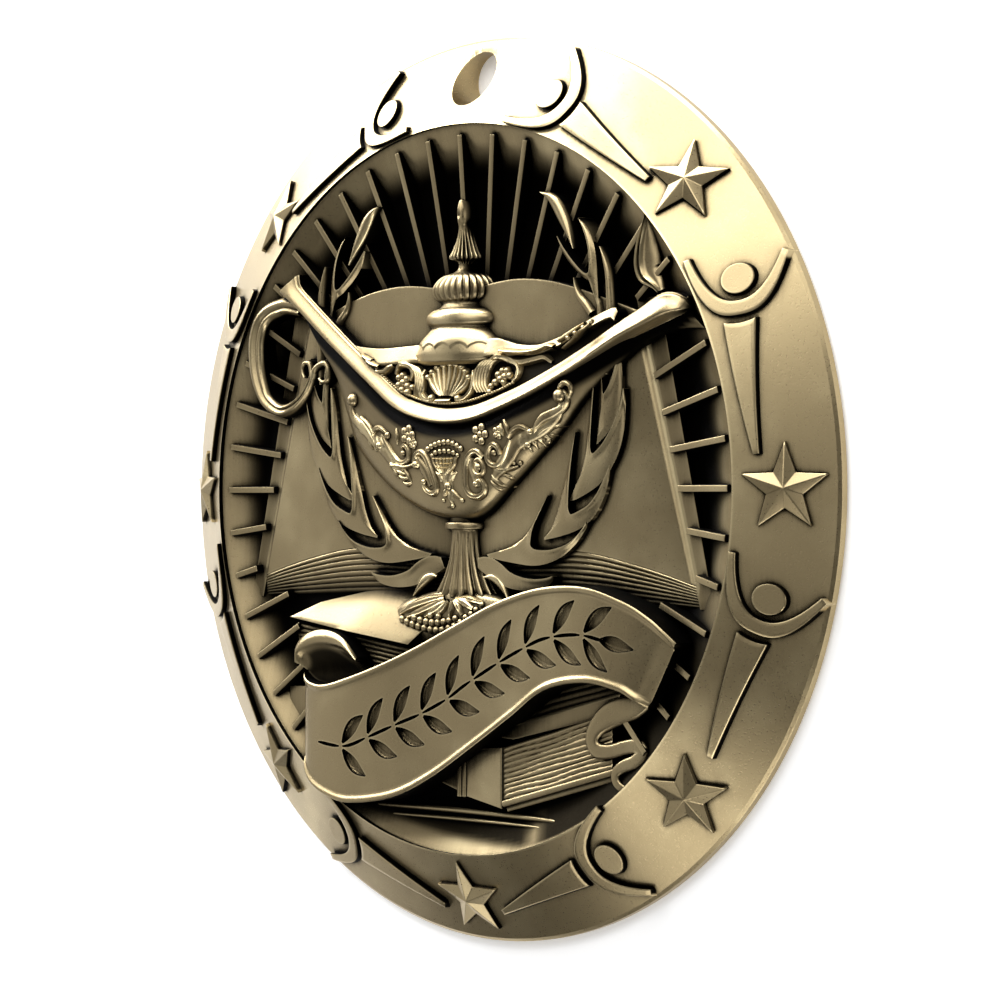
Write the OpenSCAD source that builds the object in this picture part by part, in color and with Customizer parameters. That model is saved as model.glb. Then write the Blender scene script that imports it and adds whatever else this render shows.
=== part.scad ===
// Round high-relief award medallion, cast in one piece.
// The back lies on z = 0, the face looks up along +Z and +Y points to the hanging hole.

/* [Disc] */
// Diameter of the medallion
medal_d = 76; // [60:1:110]
// Height of the plain edge wall
edge_h = 1.1; // [0.8:0.1:2]
// Bevel round the front of the edge wall
edge_bevel = 0.25; // [0.1:0.05:0.5]
// Thickness of the sunk field, from the back to its floor
field_t = 3; // [2.4:0.1:4.5]
// Plan width of the sloping rim
rim_w = 7.5; // [6.5:0.1:9]
// Rise of the rim from its outer to its inner edge
rim_rise = 4; // [3:0.1:5]
// Step from the rim's inner edge down to the field
rim_step = 0.45; // [0.2:0.05:0.8]
// Plan width of the bank that slopes from the step to the flat floor
bank_w = 4.6; // [2:0.1:6]
// Depth of the plain recess in the back
back_recess = 0.4; // [0.2:0.1:0.8]
// Width of the raised border round the back
back_border = 8; // [7.5:0.1:10]

/* [Hanging hole] */
// Diameter of the hole for the ribbon's ring
hole_d = 4.7; // [3:0.1:5]
// Distance of the hole's centre from the outer edge
hole_inset = 3.5; // [3.2:0.1:4]

/* [Rays] */
// Number of rays in a full circle
ray_n = 48; // [24:4:60]
// Width of a ray
ray_w = 0.85; // [0.5:0.05:1.2]
// Height of a ray's outer end below the rim's inner edge
ray_drop = 0.45; // [0.3:0.05:1]
// Fall of a ray's top for each millimetre inwards
ray_fall = 0.08; // [0:0.01:0.12]
// Gap between the end of a ray and the rim's step
ray_gap = 0.5; // [0.2:0.1:1]
// Length of the lower rays; the upper ones run in under the open book
ray_len = 6; // [3:0.5:8]

/* [Stars] */
// Radius of a star's points
star_r = 3.6; // [2.5:0.1:4]
// Height of a star's peak above the rim
star_peak = 0.85; // [0.5:0.05:1.2]
// Height of the low wall round a star
star_wall = 0.2; // [0.1:0.05:0.4]

/* [Figures] */
// Length of a figure from its head's centre to its foot
figure_len = 13.9; // [12:0.1:14.5]
// Thickness of a figure on the rim
figure_t = 0.5; // [0.3:0.05:0.8]
// Radius of a figure's head
head_r = 1.22; // [0.9:0.01:1.4]

/* [Relief heights] */
// Height of the open book above the floor
book_rise = 1.75; // [1.2:0.1:2.2]
// Height of the laurel above the floor
laurel_rise = 1.9; // [1.5:0.05:2.5]
// Height of the lamp's highest point above the floor
lamp_rise = 3.7; // [3:0.1:4.5]
// Height of the lamp's handle above the floor
handle_rise = 2.5; // [2:0.1:3]
// Height of the flame above the floor
flame_rise = 2; // [1.2:0.1:2.5]
// Height of the banner above the floor
banner_rise = 3.5; // [2.6:0.1:3.8]
// Height of the stacked books above the floor
stack_rise = 2; // [1.4:0.1:2.5]
// Height of the ground strip above the floor
ground_rise = 1.3; // [0.8:0.1:2]

/* [Hidden] */
$fn = 96;

medal_r = medal_d / 2;
field_r = medal_r - rim_w;
rim_top = edge_h + rim_rise;
bank_top = rim_top - rim_step;
rim_angle = atan(rim_rise / rim_w);
hole_r = hole_d / 2;
hole_y = medal_r - hole_inset;
star_ring_share = 0.9;
star_ring = medal_r * star_ring_share;
bronze = [0.62, 0.54, 0.38];

// Relief is drawn in thousandths of the field's radius
unit = field_r / 1000;

// Every raised form is rooted this far below the floor; each kind has its own depth
root = 0.6;
root_step = 0.04;
function foot(kind) = field_t - root - root_step * kind;
bowl_kind = 0;
banner_kind = 0.5;
ray_kind = 1;
roll_kind = 1.2;
shoulder_kind = 1.5;
page_kind = 2;
tail_kind = 2.2;
lip_kind = 2.5;
ribbon_kind = 3.2;
handle_kind = 3.5;
cover_kind = 4;
curl_kind = 4.5;
ground_kind = 5.2;
leaf_kind = 6;
flame_kind = 6.5;
stack_kind = 7.3;
stack_step = 0.7;
lid_kind = 12;
stem_kind = 13;
lamp_foot_kind = 14;

// Cross sections, from edge to edge: share of the half width, share of the rise above the shoulder
ridge_section = [[-1, 0], [0, 1], [1, 0]];
round_section = [[-1, 0], [-0.72, 0.6], [0, 1], [0.72, 0.6], [1, 0]];
full_section = [[-1, 0], [-0.86, 0.5], [-0.5, 0.87], [0, 1], [0.5, 0.87], [0.86, 0.5], [1, 0]];

function between(a, b, t) = (1 - t) * a + t * b;
function bend(a, c, b, t) = (1 - t) * (1 - t) * a + 2 * t * (1 - t) * c + t * t * b;
function unit_vector(v) = v / norm(v);
function normal_at(path, i) =
    let (a = path[max(i - 1, 0)], b = path[min(i + 1, len(path) - 1)], d = unit_vector(b - a))
    [-d[1], d[0]];

// Solid under a grid of surface points, row by row; its walls drop straight to base_z
function backwards(row) = [for (j = [len(row) - 1 : -1 : 0]) row[j]];
function turns_left(a, b) = a[0] * b[1] - a[1] * b[0] > 0;
module relief(surface, base_z) {
    first = surface[0];
    left = turns_left(surface[1][0] - first[0], first[len(first) - 1] - first[0]);
    grid = left ? [for (row = surface) backwards(row)] : surface;
    across = len(first);
    ring = across + 2;
    rows = len(grid);
    points = [for (row = grid) each concat(
        [[row[0][0], row[0][1], base_z]],
        row,
        [[row[across - 1][0], row[across - 1][1], base_z]])];
    walls = [for (i = [0 : rows - 2], j = [0 : ring - 1])
        let (k = (j + 1) % ring, a = i * ring + j, b = i * ring + k, c = b + ring, d = a + ring)
        each [[a, d, b], [b, d, c]]];
    caps = [[for (j = [0 : ring - 1]) j], [for (j = [ring - 1 : -1 : 0]) (rows - 1) * ring + j]];
    polyhedron(points, concat(walls, caps));
}

// A raised strip along a path; rows hold [x, y, half width, shoulder height, crest height]
module strip(rows, section, kind) {
    path = [for (row = rows) [row[0], row[1]]];
    relief([for (i = [0 : len(rows) - 1])
        let (row = rows[i], n = normal_at(path, i))
        [for (s = section)
            [row[0] + n[0] * row[2] * s[0], row[1] + n[1] * row[2] * s[0],
             field_t + row[3] + (row[4] - row[3]) * s[1]]]], foot(kind));
}

// Outline of the disc, as a revolved section: flat border, plain recess, edge, rim, step, bank and floor
module disc() {
    recess_r = medal_r - back_border;
    rotate_extrude()
        polygon([
            [0, back_recess],
            [recess_r - back_recess, back_recess],
            [recess_r, 0],
            [medal_r - edge_bevel, 0],
            [medal_r, edge_bevel],
            [medal_r, edge_h - edge_bevel],
            [medal_r - edge_bevel, edge_h],
            [field_r, rim_top],
            [field_r, bank_top],
            [field_r - bank_w, field_t],
            [0, field_t]]);
}

// Rays leave out the stretch above the ground strip and end inside the open book's outline,
// which is its top line and its leaning side lines, in thousandths
ray_clear_angle = 40;
ray_end_bevel = 0.3;
book_top_line = 520;
book_side_line = 790;
book_side_lean = 0.29;
book_low_angle = -21;
function ray_inner(a) =
    let (side = book_side_line / (abs(cos(a)) + book_side_lean * sin(a)))
    sin(a) <= sin(book_low_angle) ? field_r - ray_gap - ray_len :
        sin(a) > 0 ? unit * min(side, book_top_line / sin(a)) : unit * side;
module rays() {
    r_out = field_r - ray_gap;
    top_out = rim_top - ray_drop;
    for (i = [0 : ray_n - 1])
        let (a = 360 / ray_n * i, r_in = ray_inner(a))
            if (abs(a - 270) > ray_clear_angle)
                rotate([0, 0, a])
                    rotate([90, 0, 0])
                        translate([0, 0, -ray_w / 2])
                            linear_extrude(ray_w)
                                polygon([
                                    [r_in, foot(ray_kind)],
                                    [r_out, foot(ray_kind)],
                                    [r_out, top_out - ray_end_bevel],
                                    [r_out - ray_end_bevel, top_out],
                                    [r_in, top_out - ray_fall * (r_out - r_in)]]);
}

// Five-pointed star with ridges to its points and creases to its notches, on the rim's slope
star_notch = 0.42;
star_root = 0.5;
module star() {
    ring = [for (i = [0 : 9])
        let (r = i % 2 == 0 ? star_r : star_r * star_notch, a = 90 + 36 * i)
        [r * cos(a), r * sin(a)]];
    points = concat(
        [for (p = ring) [p[0], p[1], -star_root]],
        [for (p = ring) [p[0], p[1], star_wall]],
        [[0, 0, star_peak]]);
    polyhedron(points, concat(
        [[for (i = [0 : 9]) i]],
        [for (i = [0 : 9]) let (k = (i + 1) % 10) each [[i, 10 + i, k], [k, 10 + i, 10 + k]]],
        [for (i = [0 : 9]) [10 + i, 20, 10 + (i + 1) % 10]]));
}

// Seven stars at the eighths of the ring; the eighth place is the hole's. The low pair leans
module stars() {
    star_z = edge_h + (medal_r - star_ring) * tan(rim_angle);
    lean = 8;
    for (i = [0 : 7])
        let (a = 90 + 45 * i, turn = i == 3 ? lean : i == 5 ? -lean : 0)
            if (i > 0)
                translate([star_ring * cos(a), star_ring * sin(a), star_z])
                    rotate([0, 0, a])
                        rotate([0, rim_angle, 0])
                            rotate([0, 0, turn - a])
                                star();
}

// Flat figure with raised arms, its head's centre at the origin and its foot down -Y
// Sizes are shares of figure_len; an arm's edge rises as a power of the distance from the middle
arm_tip_out = 0.285;
arm_tip_in = 0.27;
arm_tip_w = 0.036;
arm_outer = [-0.21, 11.75, 2.76];
arm_inner = [-0.126, 6.92, 2.28];
chest_half = 0.083;
chest_y = 0.24;
chest_sag = 0.015;
foot_half = 0.016;
function arm_edge(curve, x) = figure_len * [x, curve[0] + curve[1] * pow(abs(x), curve[2])];
function spread(lo, hi, steps) = [for (i = [0 : steps]) lo + (hi - lo) * i / steps];
module figure_outline() {
    steps = 10;
    circle(head_r);
    polygon(concat(
        [for (x = spread(-arm_tip_out, arm_tip_in, steps)) arm_edge(arm_outer, x)],
        [for (x = spread(arm_tip_in - arm_tip_w, arm_tip_w - arm_tip_out, steps)) arm_edge(arm_inner, x)]));
    polygon(figure_len * [
        [-chest_half, -chest_y],
        [0, -chest_y - chest_sag],
        [chest_half, -chest_y],
        [foot_half, -1],
        [-foot_half, -1]]);
}

// Each row: the head's angle on the ring, the head's radius as a share of the disc's, the lean
figure_rows = [
    [28.6, 0.895, -18],
    [73.3, 0.888, -17.5],
    [-14.5, 0.897, -11.5],
    [-61.4, 0.893, -5.5]];

module figures() {
    tall = rim_top + figure_t;
    intersection() {
        linear_extrude(tall)
            for (side = [0, 1])
                mirror([side, 0, 0])
                    for (row = figure_rows)
                        rotate([0, 0, row[0]])
                            translate([medal_r * row[1], 0, 0])
                                rotate([0, 0, row[2]])
                                    figure_outline();
        rotate_extrude()
            polygon([
                [field_r, edge_h / 2],
                [medal_r - edge_bevel, edge_h / 2],
                [medal_r - edge_bevel, edge_h + figure_t],
                [field_r, rim_top + figure_t]]);
    }
}

// One page of the open book, right-hand side: columns from the gutter to the outer edge
// Columns: x top, y top, x bottom, y bottom, height share at the top, height share at the bottom
page_columns = [
    [0, 530, 0, -200, 0.72, 0.2],
    [60, 548, 90, -200, 0.92, 0.45],
    [150, 562, 210, -190, 1, 0.66],
    [240, 566, 340, -180, 1, 0.68],
    [340, 556, 480, -185, 0.98, 0.66],
    [440, 533, 620, -200, 0.92, 0.6],
    [540, 500, 745, -222, 0.84, 0.5],
    [640, 465, 855, -248, 0.74, 0.4]];
// How far the fanned page ends reach below the page, and their height share at their lower edge
fan_reach = 72;
fan_gutter = 0.4;
fan_share = 0.3;
function fan_at(x) = fan_reach * (fan_gutter + (1 - fan_gutter) * x / page_columns[len(page_columns) - 1][0]);
// How far the cover shows outside the pages, and its height share
cover_reach = 38;
cover_share = 0.2;
function page_points(c, side) =
    let (k = 1 + fan_at(c[0]) / (c[1] - c[3]))
    [[side * c[0] * unit, c[1] * unit, field_t + book_rise * c[4]],
     [side * c[2] * unit, c[3] * unit, field_t + book_rise * c[5]],
     [side * between(c[0], c[2], k) * unit, between(c[1], c[3], k) * unit, field_t + book_rise * fan_share]];
module open_book() {
    count = len(page_columns);
    last = page_columns[count - 1];
    top = field_t + book_rise * cover_share;
    relief(concat(
        [for (i = [count - 1 : -1 : 1]) page_points(page_columns[i], -1)],
        [for (c = page_columns) page_points(c, 1)]), foot(page_kind));
    for (side = [-1, 1])
        relief([
            [[side * (last[0] - cover_reach) * unit, (last[1] + cover_reach) * unit, top],
             [side * (last[2] - cover_reach) * unit, last[3] * unit, top]],
            [[side * (last[0] + cover_reach) * unit, last[1] * unit, top],
             [side * (last[2] + cover_reach) * unit, (last[3] - fan_reach) * unit, top]]], foot(cover_kind));
}

// One branch of the laurel, right-hand side; every leaf bends from its base to its tip
// Columns: base x, base y, bend x, bend y, tip x, tip y, half width, height share
leaf_rows = [
    [60, -155, 360, -240, 485, -90, 30, 1],
    [190, -168, 285, -125, 345, -20, 21, 0.97],
    [308, -130, 500, -90, 570, 65, 27, 1],
    [322, -118, 380, -35, 435, 135, 20, 0.97],
    [425, -28, 568, 40, 620, 255, 28, 1],
    [432, -12, 458, 75, 466, 225, 20, 0.96],
    [515, 108, 592, 195, 602, 375, 25, 0.99],
    [522, 135, 532, 262, 526, 400, 19, 0.96],
    [566, 370, 590, 505, 533, 630, 24, 0.97],
    [490, 355, 492, 460, 432, 553, 22, 0.94],
    [520, 455, 532, 598, 452, 710, 17, 0.96],
    [512, 472, 465, 577, 373, 665, 17, 0.93],
    [455, 630, 397, 735, 313, 786, 24, 0.96],
    [112, -172, 240, -300, 364, -224, 25, 0.88],
    [92, -240, 150, -250, 186, -296, 13, 0.8]];
leaf_widths = [0.42, 0.85, 1, 0.92, 0.62, 0.08];
leaf_shoulder = 0.82;
module laurel() {
    stations = len(leaf_widths) - 1;
    for (side = [0, 1])
        mirror([side, 0, 0])
            for (i = [0 : len(leaf_rows) - 1])
                let (f = leaf_rows[i], top = laurel_rise * f[7])
                    strip([for (j = [0 : stations])
                        let (p = unit * bend([f[0], f[1]], [f[2], f[3]], [f[4], f[5]], j / stations))
                        [p[0], p[1], unit * f[6] * leaf_widths[j], top * leaf_shoulder, top]],
                        ridge_section, leaf_kind + i % 3 + 3 * side);
}

// Lid and finial of the lamp, from the tip down: y, half width, height share
lid_rows = [
    [793, 10, 0.38], [764, 24, 0.43], [734, 26, 0.46], [708, 18, 0.42], [682, 25, 0.46],
    [652, 39, 0.52], [633, 51, 0.57], [622, 22, 0.42], [603, 20, 0.42], [590, 36, 0.5],
    [580, 66, 0.62], [557, 104, 0.76], [538, 111, 0.78], [518, 86, 0.68], [508, 75, 0.64],
    [498, 88, 0.7], [490, 110, 0.78], [475, 130, 0.85], [456, 131, 0.86], [444, 115, 0.79],
    [436, 119, 0.82], [407, 151, 0.94], [377, 177, 1], [361, 180, 0.99], [350, 170, 0.93],
    [340, 144, 0.84]];
lid_shoulder = 0.3;

// Stem and foot, from the bowl down: y, half width, height share
stem_rows = [
    [-50, 60, 0.7], [-74, 54, 0.5], [-88, 56, 0.44], [-92, 69, 0.52], [-108, 69, 0.52],
    [-115, 49, 0.4], [-180, 54, 0.4], [-236, 75, 0.44], [-272, 95, 0.48], [-292, 103, 0.5],
    [-296, 86, 0.44]];
foot_rows = [
    [-278, 90, 0.46], [-302, 205, 0.52], [-338, 265, 0.55], [-378, 250, 0.52], [-420, 180, 0.42],
    [-446, 80, 0.3]];
foot_x = -15;

// Lip and keel of the bowl, column by column from the handle to the spout
// Columns: lip x, lip y, keel x, keel y, lip's half width, lip's height share, belly's height share
bowl_columns = [
    [-675, 588, -668, 560, 46, 0.82, 0.6],
    [-650, 562, -640, 520, 30, 0.84, 0.62],
    [-590, 516, -590, 440, 27, 0.84, 0.66],
    [-505, 452, -540, 375, 27, 0.86, 0.7],
    [-420, 391, -486, 305, 26, 0.88, 0.74],
    [-315, 314, -430, 213, 26, 0.9, 0.8],
    [-200, 236, -365, 112, 26, 0.94, 0.85],
    [-100, 200, -190, -10, 26, 0.97, 0.89],
    [0, 184, -58, -72, 26, 0.98, 0.91],
    [100, 190, 62, -72, 26, 0.97, 0.91],
    [194, 210, 205, 18, 26, 0.96, 0.89],
    [308, 243, 310, 85, 26, 0.94, 0.86],
    [420, 289, 400, 158, 26, 0.92, 0.82],
    [520, 340, 490, 245, 26, 0.9, 0.77],
    [620, 396, 610, 330, 28, 0.88, 0.7],
    [705, 436, 712, 392, 32, 0.86, 0.62],
    [785, 474, 822, 410, 37, 0.84, 0.55],
    [826, 478, 895, 408, 24, 0.78, 0.46]];
keel_share = 0.4;
belly_high = 0.8;
lip_shoulder = 0.72;

// Top edge of the lamp's shoulder, over the bowl's inner columns, with its first column's number
shoulder_first = 4;
shoulder_tops = [
    [-410, 403], [-300, 392], [-200, 397], [-100, 400], [0, 402], [100, 405], [194, 410],
    [308, 414], [420, 428], [520, 462], [615, 486]];
shoulder_share = 0.62;
shoulder_crest = 0.84;
shoulder_tuck = 12;
shoulder_under = 0.6;

// Handle, from the lip round to its end, and its two curls: x, y, half width
handle_rows = [
    [-630, 532, 22], [-708, 541, 24], [-762, 545, 30], [-815, 522, 36], [-853, 478, 38],
    [-872, 413, 35], [-866, 354, 30], [-840, 302, 25], [-794, 257, 22], [-728, 228, 20],
    [-662, 240, 18], [-613, 280, 17], [-583, 325, 16]];
curl_rows = [
    [[-590, 312, 15], [-600, 352, 14], [-625, 366, 13], [-642, 346, 11], [-630, 325, 8]],
    [[-590, 312, 15], [-558, 350, 15], [-526, 352, 14], [-512, 325, 13], [-530, 308, 9]]];
handle_shoulder = 0.75;
curl_share = 0.98;

// Flame over the spout: x, y, half width
flame_rows = [
    [676, 700, 4], [662, 662, 24], [656, 630, 38], [662, 597, 48], [684, 564, 50], [704, 536, 32],
    [712, 508, 16]];
flame_shoulder = 0.6;

module lamp() {
    handle = handle_rise * handle_shoulder;
    bowl_section = [0, 0.35, 0.7, 1];
    strip([for (r = lid_rows)
        [0, r[0] * unit, r[1] * unit, lamp_rise * r[2] * lid_shoulder, lamp_rise * r[2]]],
        full_section, lid_kind);
    strip([for (r = stem_rows)
        [0, r[0] * unit, r[1] * unit, lamp_rise * r[2] * lid_shoulder, lamp_rise * r[2]]],
        full_section, stem_kind);
    strip([for (r = foot_rows)
        [foot_x * unit, r[0] * unit, r[1] * unit, lamp_rise * r[2] * lid_shoulder, lamp_rise * r[2]]],
        full_section, lamp_foot_kind);
    relief([for (c = bowl_columns)
        [for (t = bowl_section)
            let (edge = between(c[5] * lip_shoulder, keel_share, t),
                 rise = max(0, c[6] - edge) * sin(180 * pow(t, belly_high)))
            [unit * between(c[0], c[2], t), unit * between(c[1], c[3], t),
             field_t + lamp_rise * (edge + rise)]]], foot(bowl_kind));
    relief([for (i = [0 : len(shoulder_tops) - 1])
        let (top = shoulder_tops[i], c = bowl_columns[i + shoulder_first], low = [c[0], c[1] - shoulder_tuck])
        [[unit * top[0], unit * top[1], field_t + lamp_rise * shoulder_share],
         [unit * (top[0] + low[0]) / 2, unit * (top[1] + low[1]) / 2, field_t + lamp_rise * shoulder_crest],
         [unit * low[0], unit * low[1], field_t + lamp_rise * shoulder_under]]],
        foot(shoulder_kind));
    strip([for (c = bowl_columns)
        [unit * c[0], unit * c[1], unit * c[4], lamp_rise * c[5] * lip_shoulder, lamp_rise * c[5]]],
        round_section, lip_kind);
    strip([for (r = handle_rows) [unit * r[0], unit * r[1], unit * r[2], handle, handle_rise]],
        round_section, handle_kind);
    for (i = [0, 1])
        strip([for (r = curl_rows[i])
            [unit * r[0], unit * r[1], unit * r[2], handle, handle_rise * curl_share]],
            ridge_section, curl_kind + i);
    strip([for (r = flame_rows)
        [unit * r[0], unit * r[1], unit * r[2], flame_rise * flame_shoulder, flame_rise]],
        round_section, flame_kind);
}

// Banner, from its left fold to its right end
// Columns: x top, y top, x bottom, y bottom, height share
banner_columns = [
    [-580, -530, -582, -800, 0.71],
    [-562, -546, -560, -838, 0.86],
    [-515, -552, -500, -862, 0.94],
    [-425, -540, -380, -880, 1],
    [-280, -496, -210, -855, 0.97],
    [-130, -440, -65, -795, 0.91],
    [35, -370, 100, -700, 0.89],
    [195, -305, 245, -612, 0.89],
    [360, -264, 378, -534, 0.94],
    [525, -258, 525, -508, 0.97],
    [670, -295, 640, -524, 0.91],
    [772, -345, 695, -550, 0.86],
    [826, -396, 728, -568, 0.74]];
banner_edge = 0.93;

// Rolled fold behind the banner's left end: outer x, outer y, inner x, inner y
roll_columns = [
    [-622, -490, -585, -535],
    [-620, -445, -556, -548],
    [-568, -410, -506, -552],
    [-502, -400, -456, -546],
    [-436, -422, -406, -534],
    [-380, -475, -366, -518]];
roll_share = 0.76;
roll_back = 0.7;
roll_hollow = 0.5;
roll_lip = 0.2;

// Tail of the banner: its folded face, and the ribbon's wavy end as x, y, half width
tail_columns = [
    [735, -570, 720, -600],
    [690, -565, 640, -640],
    [600, -575, 550, -672],
    [520, -600, 478, -690],
    [472, -632, 466, -680]];
tail_rows = [
    [478, -662, 14], [500, -688, 15], [570, -684, 15], [650, -655, 15], [694, -664, 15],
    [690, -694, 15], [620, -724, 14], [578, -752, 13], [588, -778, 12], [620, -776, 10]];
tail_share = 0.4;
tail_crest = 0.05;

banner_section = [[0, banner_edge], [0.12, 1], [0.88, 1], [1, banner_edge]];
module banner() {
    relief([for (c = banner_columns)
        [for (s = banner_section)
            [unit * between(c[0], c[2], s[0]), unit * between(c[1], c[3], s[0]),
             field_t + banner_rise * c[4] * s[1]]]], foot(banner_kind));
    roll_section = [[0, roll_back], [roll_lip, roll_share], [0.5, roll_hollow], [1, roll_hollow]];
    relief([for (c = roll_columns)
        [for (s = roll_section)
            [unit * between(c[0], c[2], s[0]), unit * between(c[1], c[3], s[0]),
             field_t + banner_rise * s[1]]]], foot(roll_kind));
    relief([for (c = tail_columns)
        [[unit * c[0], unit * c[1], field_t + banner_rise * tail_share],
         [unit * c[2], unit * c[3], field_t + banner_rise * tail_share]]], foot(tail_kind));
    strip([for (r = tail_rows)
        [unit * r[0], unit * r[1], unit * r[2],
         banner_rise * (tail_share - tail_crest), banner_rise * (tail_share + tail_crest)]],
        ridge_section, ribbon_kind);
}

// Closed books: each face is drawn corner by corner as x, y, height share, rows from left to right
stack_faces = [
    [[[-705, -367, 0.5], [-600, -320, 0.45]], [[-450, -398, 0.54], [-350, -275, 0.45]],
     [[-190, -425, 0.56], [0, -260, 0.45]]],
    [[[-690, -380, 0.38], [-690, -500, 0.3]], [[-190, -430, 0.42], [-190, -540, 0.35]]],
    [[[-728, -568, 0.45], [-728, -726, 0.45]], [[-640, -566, 0.45], [-640, -726, 0.45]]],
    [[[24, -718, 0.74], [24, -830, 0.74]], [[167, -690, 0.84], [167, -859, 0.84]]],
    [[[150, -700, 0.8], [150, -852, 0.8]], [[590, -590, 0.6], [590, -760, 0.6]]],
    [[[-14, -722, 0.66], [-14, -842, 0.66]], [[34, -718, 0.7], [34, -845, 0.7]]],
    [[[-135, -790, 0.4], [-135, -800, 0.4]], [[-6, -738, 0.4], [-6, -832, 0.4]]],
    [[[90, -640, 0.45], [90, -670, 0.45]], [[175, -640, 0.48], [175, -683, 0.48]],
     [[580, -500, 0.4], [575, -545, 0.4]]]];
module book_stack() {
    for (i = [0 : len(stack_faces) - 1])
        relief([for (row = stack_faces[i])
            [for (p = row) [unit * p[0], unit * p[1], field_t + stack_rise * p[2]]]],
            foot(stack_kind + stack_step * i));
}

// Ground strip under the books, along a chord of the field: x, y, half width
ground_rows = [[-470, -915, 4], [-300, -905, 14], [0, -900, 17], [300, -905, 14], [420, -910, 4]];
ground_shoulder = 0.9;
module ground() {
    strip([for (r = ground_rows)
        [unit * r[0], unit * r[1], unit * r[2], ground_rise * ground_shoulder, ground_rise]],
        ridge_section, ground_kind);
}

module medallion() {
    color(bronze)
        difference() {
            union() {
                disc();
                rays();
                stars();
                figures();
                open_book();
                laurel();
                lamp();
                banner();
                book_stack();
                ground();
            }
            translate([0, hole_y, -1])
                cylinder(h = rim_top + 2, r = hole_r);
        }
}

medallion();
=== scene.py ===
import bpy
import bmesh
import math
from mathutils import Matrix, Vector
from mathutils.bvhtree import BVHTree
from mathutils.kdtree import KDTree


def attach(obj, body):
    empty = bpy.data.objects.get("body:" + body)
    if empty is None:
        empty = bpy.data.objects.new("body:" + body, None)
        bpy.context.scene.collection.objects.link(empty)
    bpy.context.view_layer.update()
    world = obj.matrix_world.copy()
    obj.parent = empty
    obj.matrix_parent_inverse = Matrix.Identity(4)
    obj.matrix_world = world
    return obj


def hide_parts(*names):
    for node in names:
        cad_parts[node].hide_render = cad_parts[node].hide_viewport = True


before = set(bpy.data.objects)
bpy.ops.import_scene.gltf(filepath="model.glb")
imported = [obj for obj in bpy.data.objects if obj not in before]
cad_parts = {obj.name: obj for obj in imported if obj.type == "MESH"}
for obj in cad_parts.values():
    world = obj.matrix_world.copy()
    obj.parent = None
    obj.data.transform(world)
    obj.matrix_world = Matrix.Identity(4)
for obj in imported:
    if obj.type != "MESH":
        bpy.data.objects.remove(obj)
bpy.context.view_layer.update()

mm = 0.001  # pieces are drawn in millimetres and brought to metres when they are finished
weld = 0.0005  # points closer than this, in mm, become one
curveSteps = 12  # straight bits between two rows of a smooth curve
evenWeight = 80  # how much the large faces decide the shading

medal = {
    "radius": 38.0,
    "edge": 1.1,
    "edgeBevel": 0.25,
    "floor": 3.0,
    "fieldRadius": 30.5,
    "rimTop": 5.1,
    "step": 0.45,
    "bank": 4.6,
    "recess": 0.4,
    "border": 8.0,
    "holeRadius": 2.35,
    "holeAt": 34.5,
    "root": 1.6,  # raised forms start inside the disc at this height
}
share = medal["fieldRadius"] / 1000  # the relief is drawn in thousandths of the field's radius
rimSlope = (medal["rimTop"] - medal["edge"]) / (medal["radius"] - medal["fieldRadius"])


def rimHeight(x, y):
    # the sloping rim's surface
    return medal["edge"] + (medal["radius"] - math.hypot(x, y)) * rimSlope


def smoothRows(rows, count):
    # a smooth curve through the rows, spaced evenly along its length in plan
    pts = [Vector(r) for r in rows]
    fine = []
    for i in range(len(pts) - 1):
        a, b, c, d = pts[max(i - 1, 0)], pts[i], pts[i + 1], pts[min(i + 2, len(pts) - 1)]
        for j in range(curveSteps):
            t = j / curveSteps
            fine.append(0.5 * (2 * b + (c - a) * t + (2 * a - 5 * b + 4 * c - d) * t * t
                               + (3 * b - a - 3 * c + d) * t ** 3))
    fine.append(pts[-1])
    run = [0.0]
    for p, q in zip(fine, fine[1:]):
        run.append(run[-1] + math.hypot(q[0] - p[0], q[1] - p[1]))
    out = []
    k = 0
    for i in range(count + 1):
        want = run[-1] * i / count
        while k < len(run) - 2 and run[k + 1] < want:
            k += 1
        span = run[k + 1] - run[k]
        t = (want - run[k]) / span if span > 1e-9 else 0
        out.append(fine[k].lerp(fine[k + 1], min(max(t, 0), 1)))
    return out


def rowAt(rows, u):
    # the nearest row of a curve from smoothRows, u from 0 to 1
    return rows[min(int(round(u * (len(rows) - 1))), len(rows) - 1)]


def acrossRow(c, t):
    # a point between the two ends of a row that starts with x, y, x, y
    return c[0] + (c[2] - c[0]) * t, c[1] + (c[3] - c[1]) * t


def tableAt(rows, t):
    # straight reading between the rows of a table, t from 0 to 1
    x = min(max(t, 0), 1) * (len(rows) - 1)
    i = min(int(x), len(rows) - 2)
    f = x - i
    return [a + (b - a) * f for a, b in zip(rows[i], rows[i + 1])]


def sheet(across, along, shape):
    # a grid bent by shape(u, v), where u and v run from 0 to 1
    bm = bmesh.new()
    bmesh.ops.create_grid(bm, x_segments=across, y_segments=along, size=0.5)
    for v in bm.verts:
        v.co = shape(v.co.x + 0.5, v.co.y + 0.5)
    return bm


def roundEdges(bm, edges, size, **more):
    bmesh.ops.bevel(bm, geom=edges, offset=size, offset_type="OFFSET", segments=2, profile=0.5,
                    affect="EDGES", material=-1, **more)


def wallsDown(bm, lower):
    # upright walls from the sheet's border down to lower(point), closed below; gives back the top edges
    top = [e for e in bm.edges if e.is_boundary]
    low = bmesh.ops.extrude_edge_only(bm, edges=top)["geom"]
    for v in low:
        if isinstance(v, bmesh.types.BMVert):
            v.co.z = lower(v.co)
    loop = [e for e in low if isinstance(e, bmesh.types.BMEdge) and e.is_boundary]
    bmesh.ops.contextual_create(bm, geom=loop)
    return top


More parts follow.
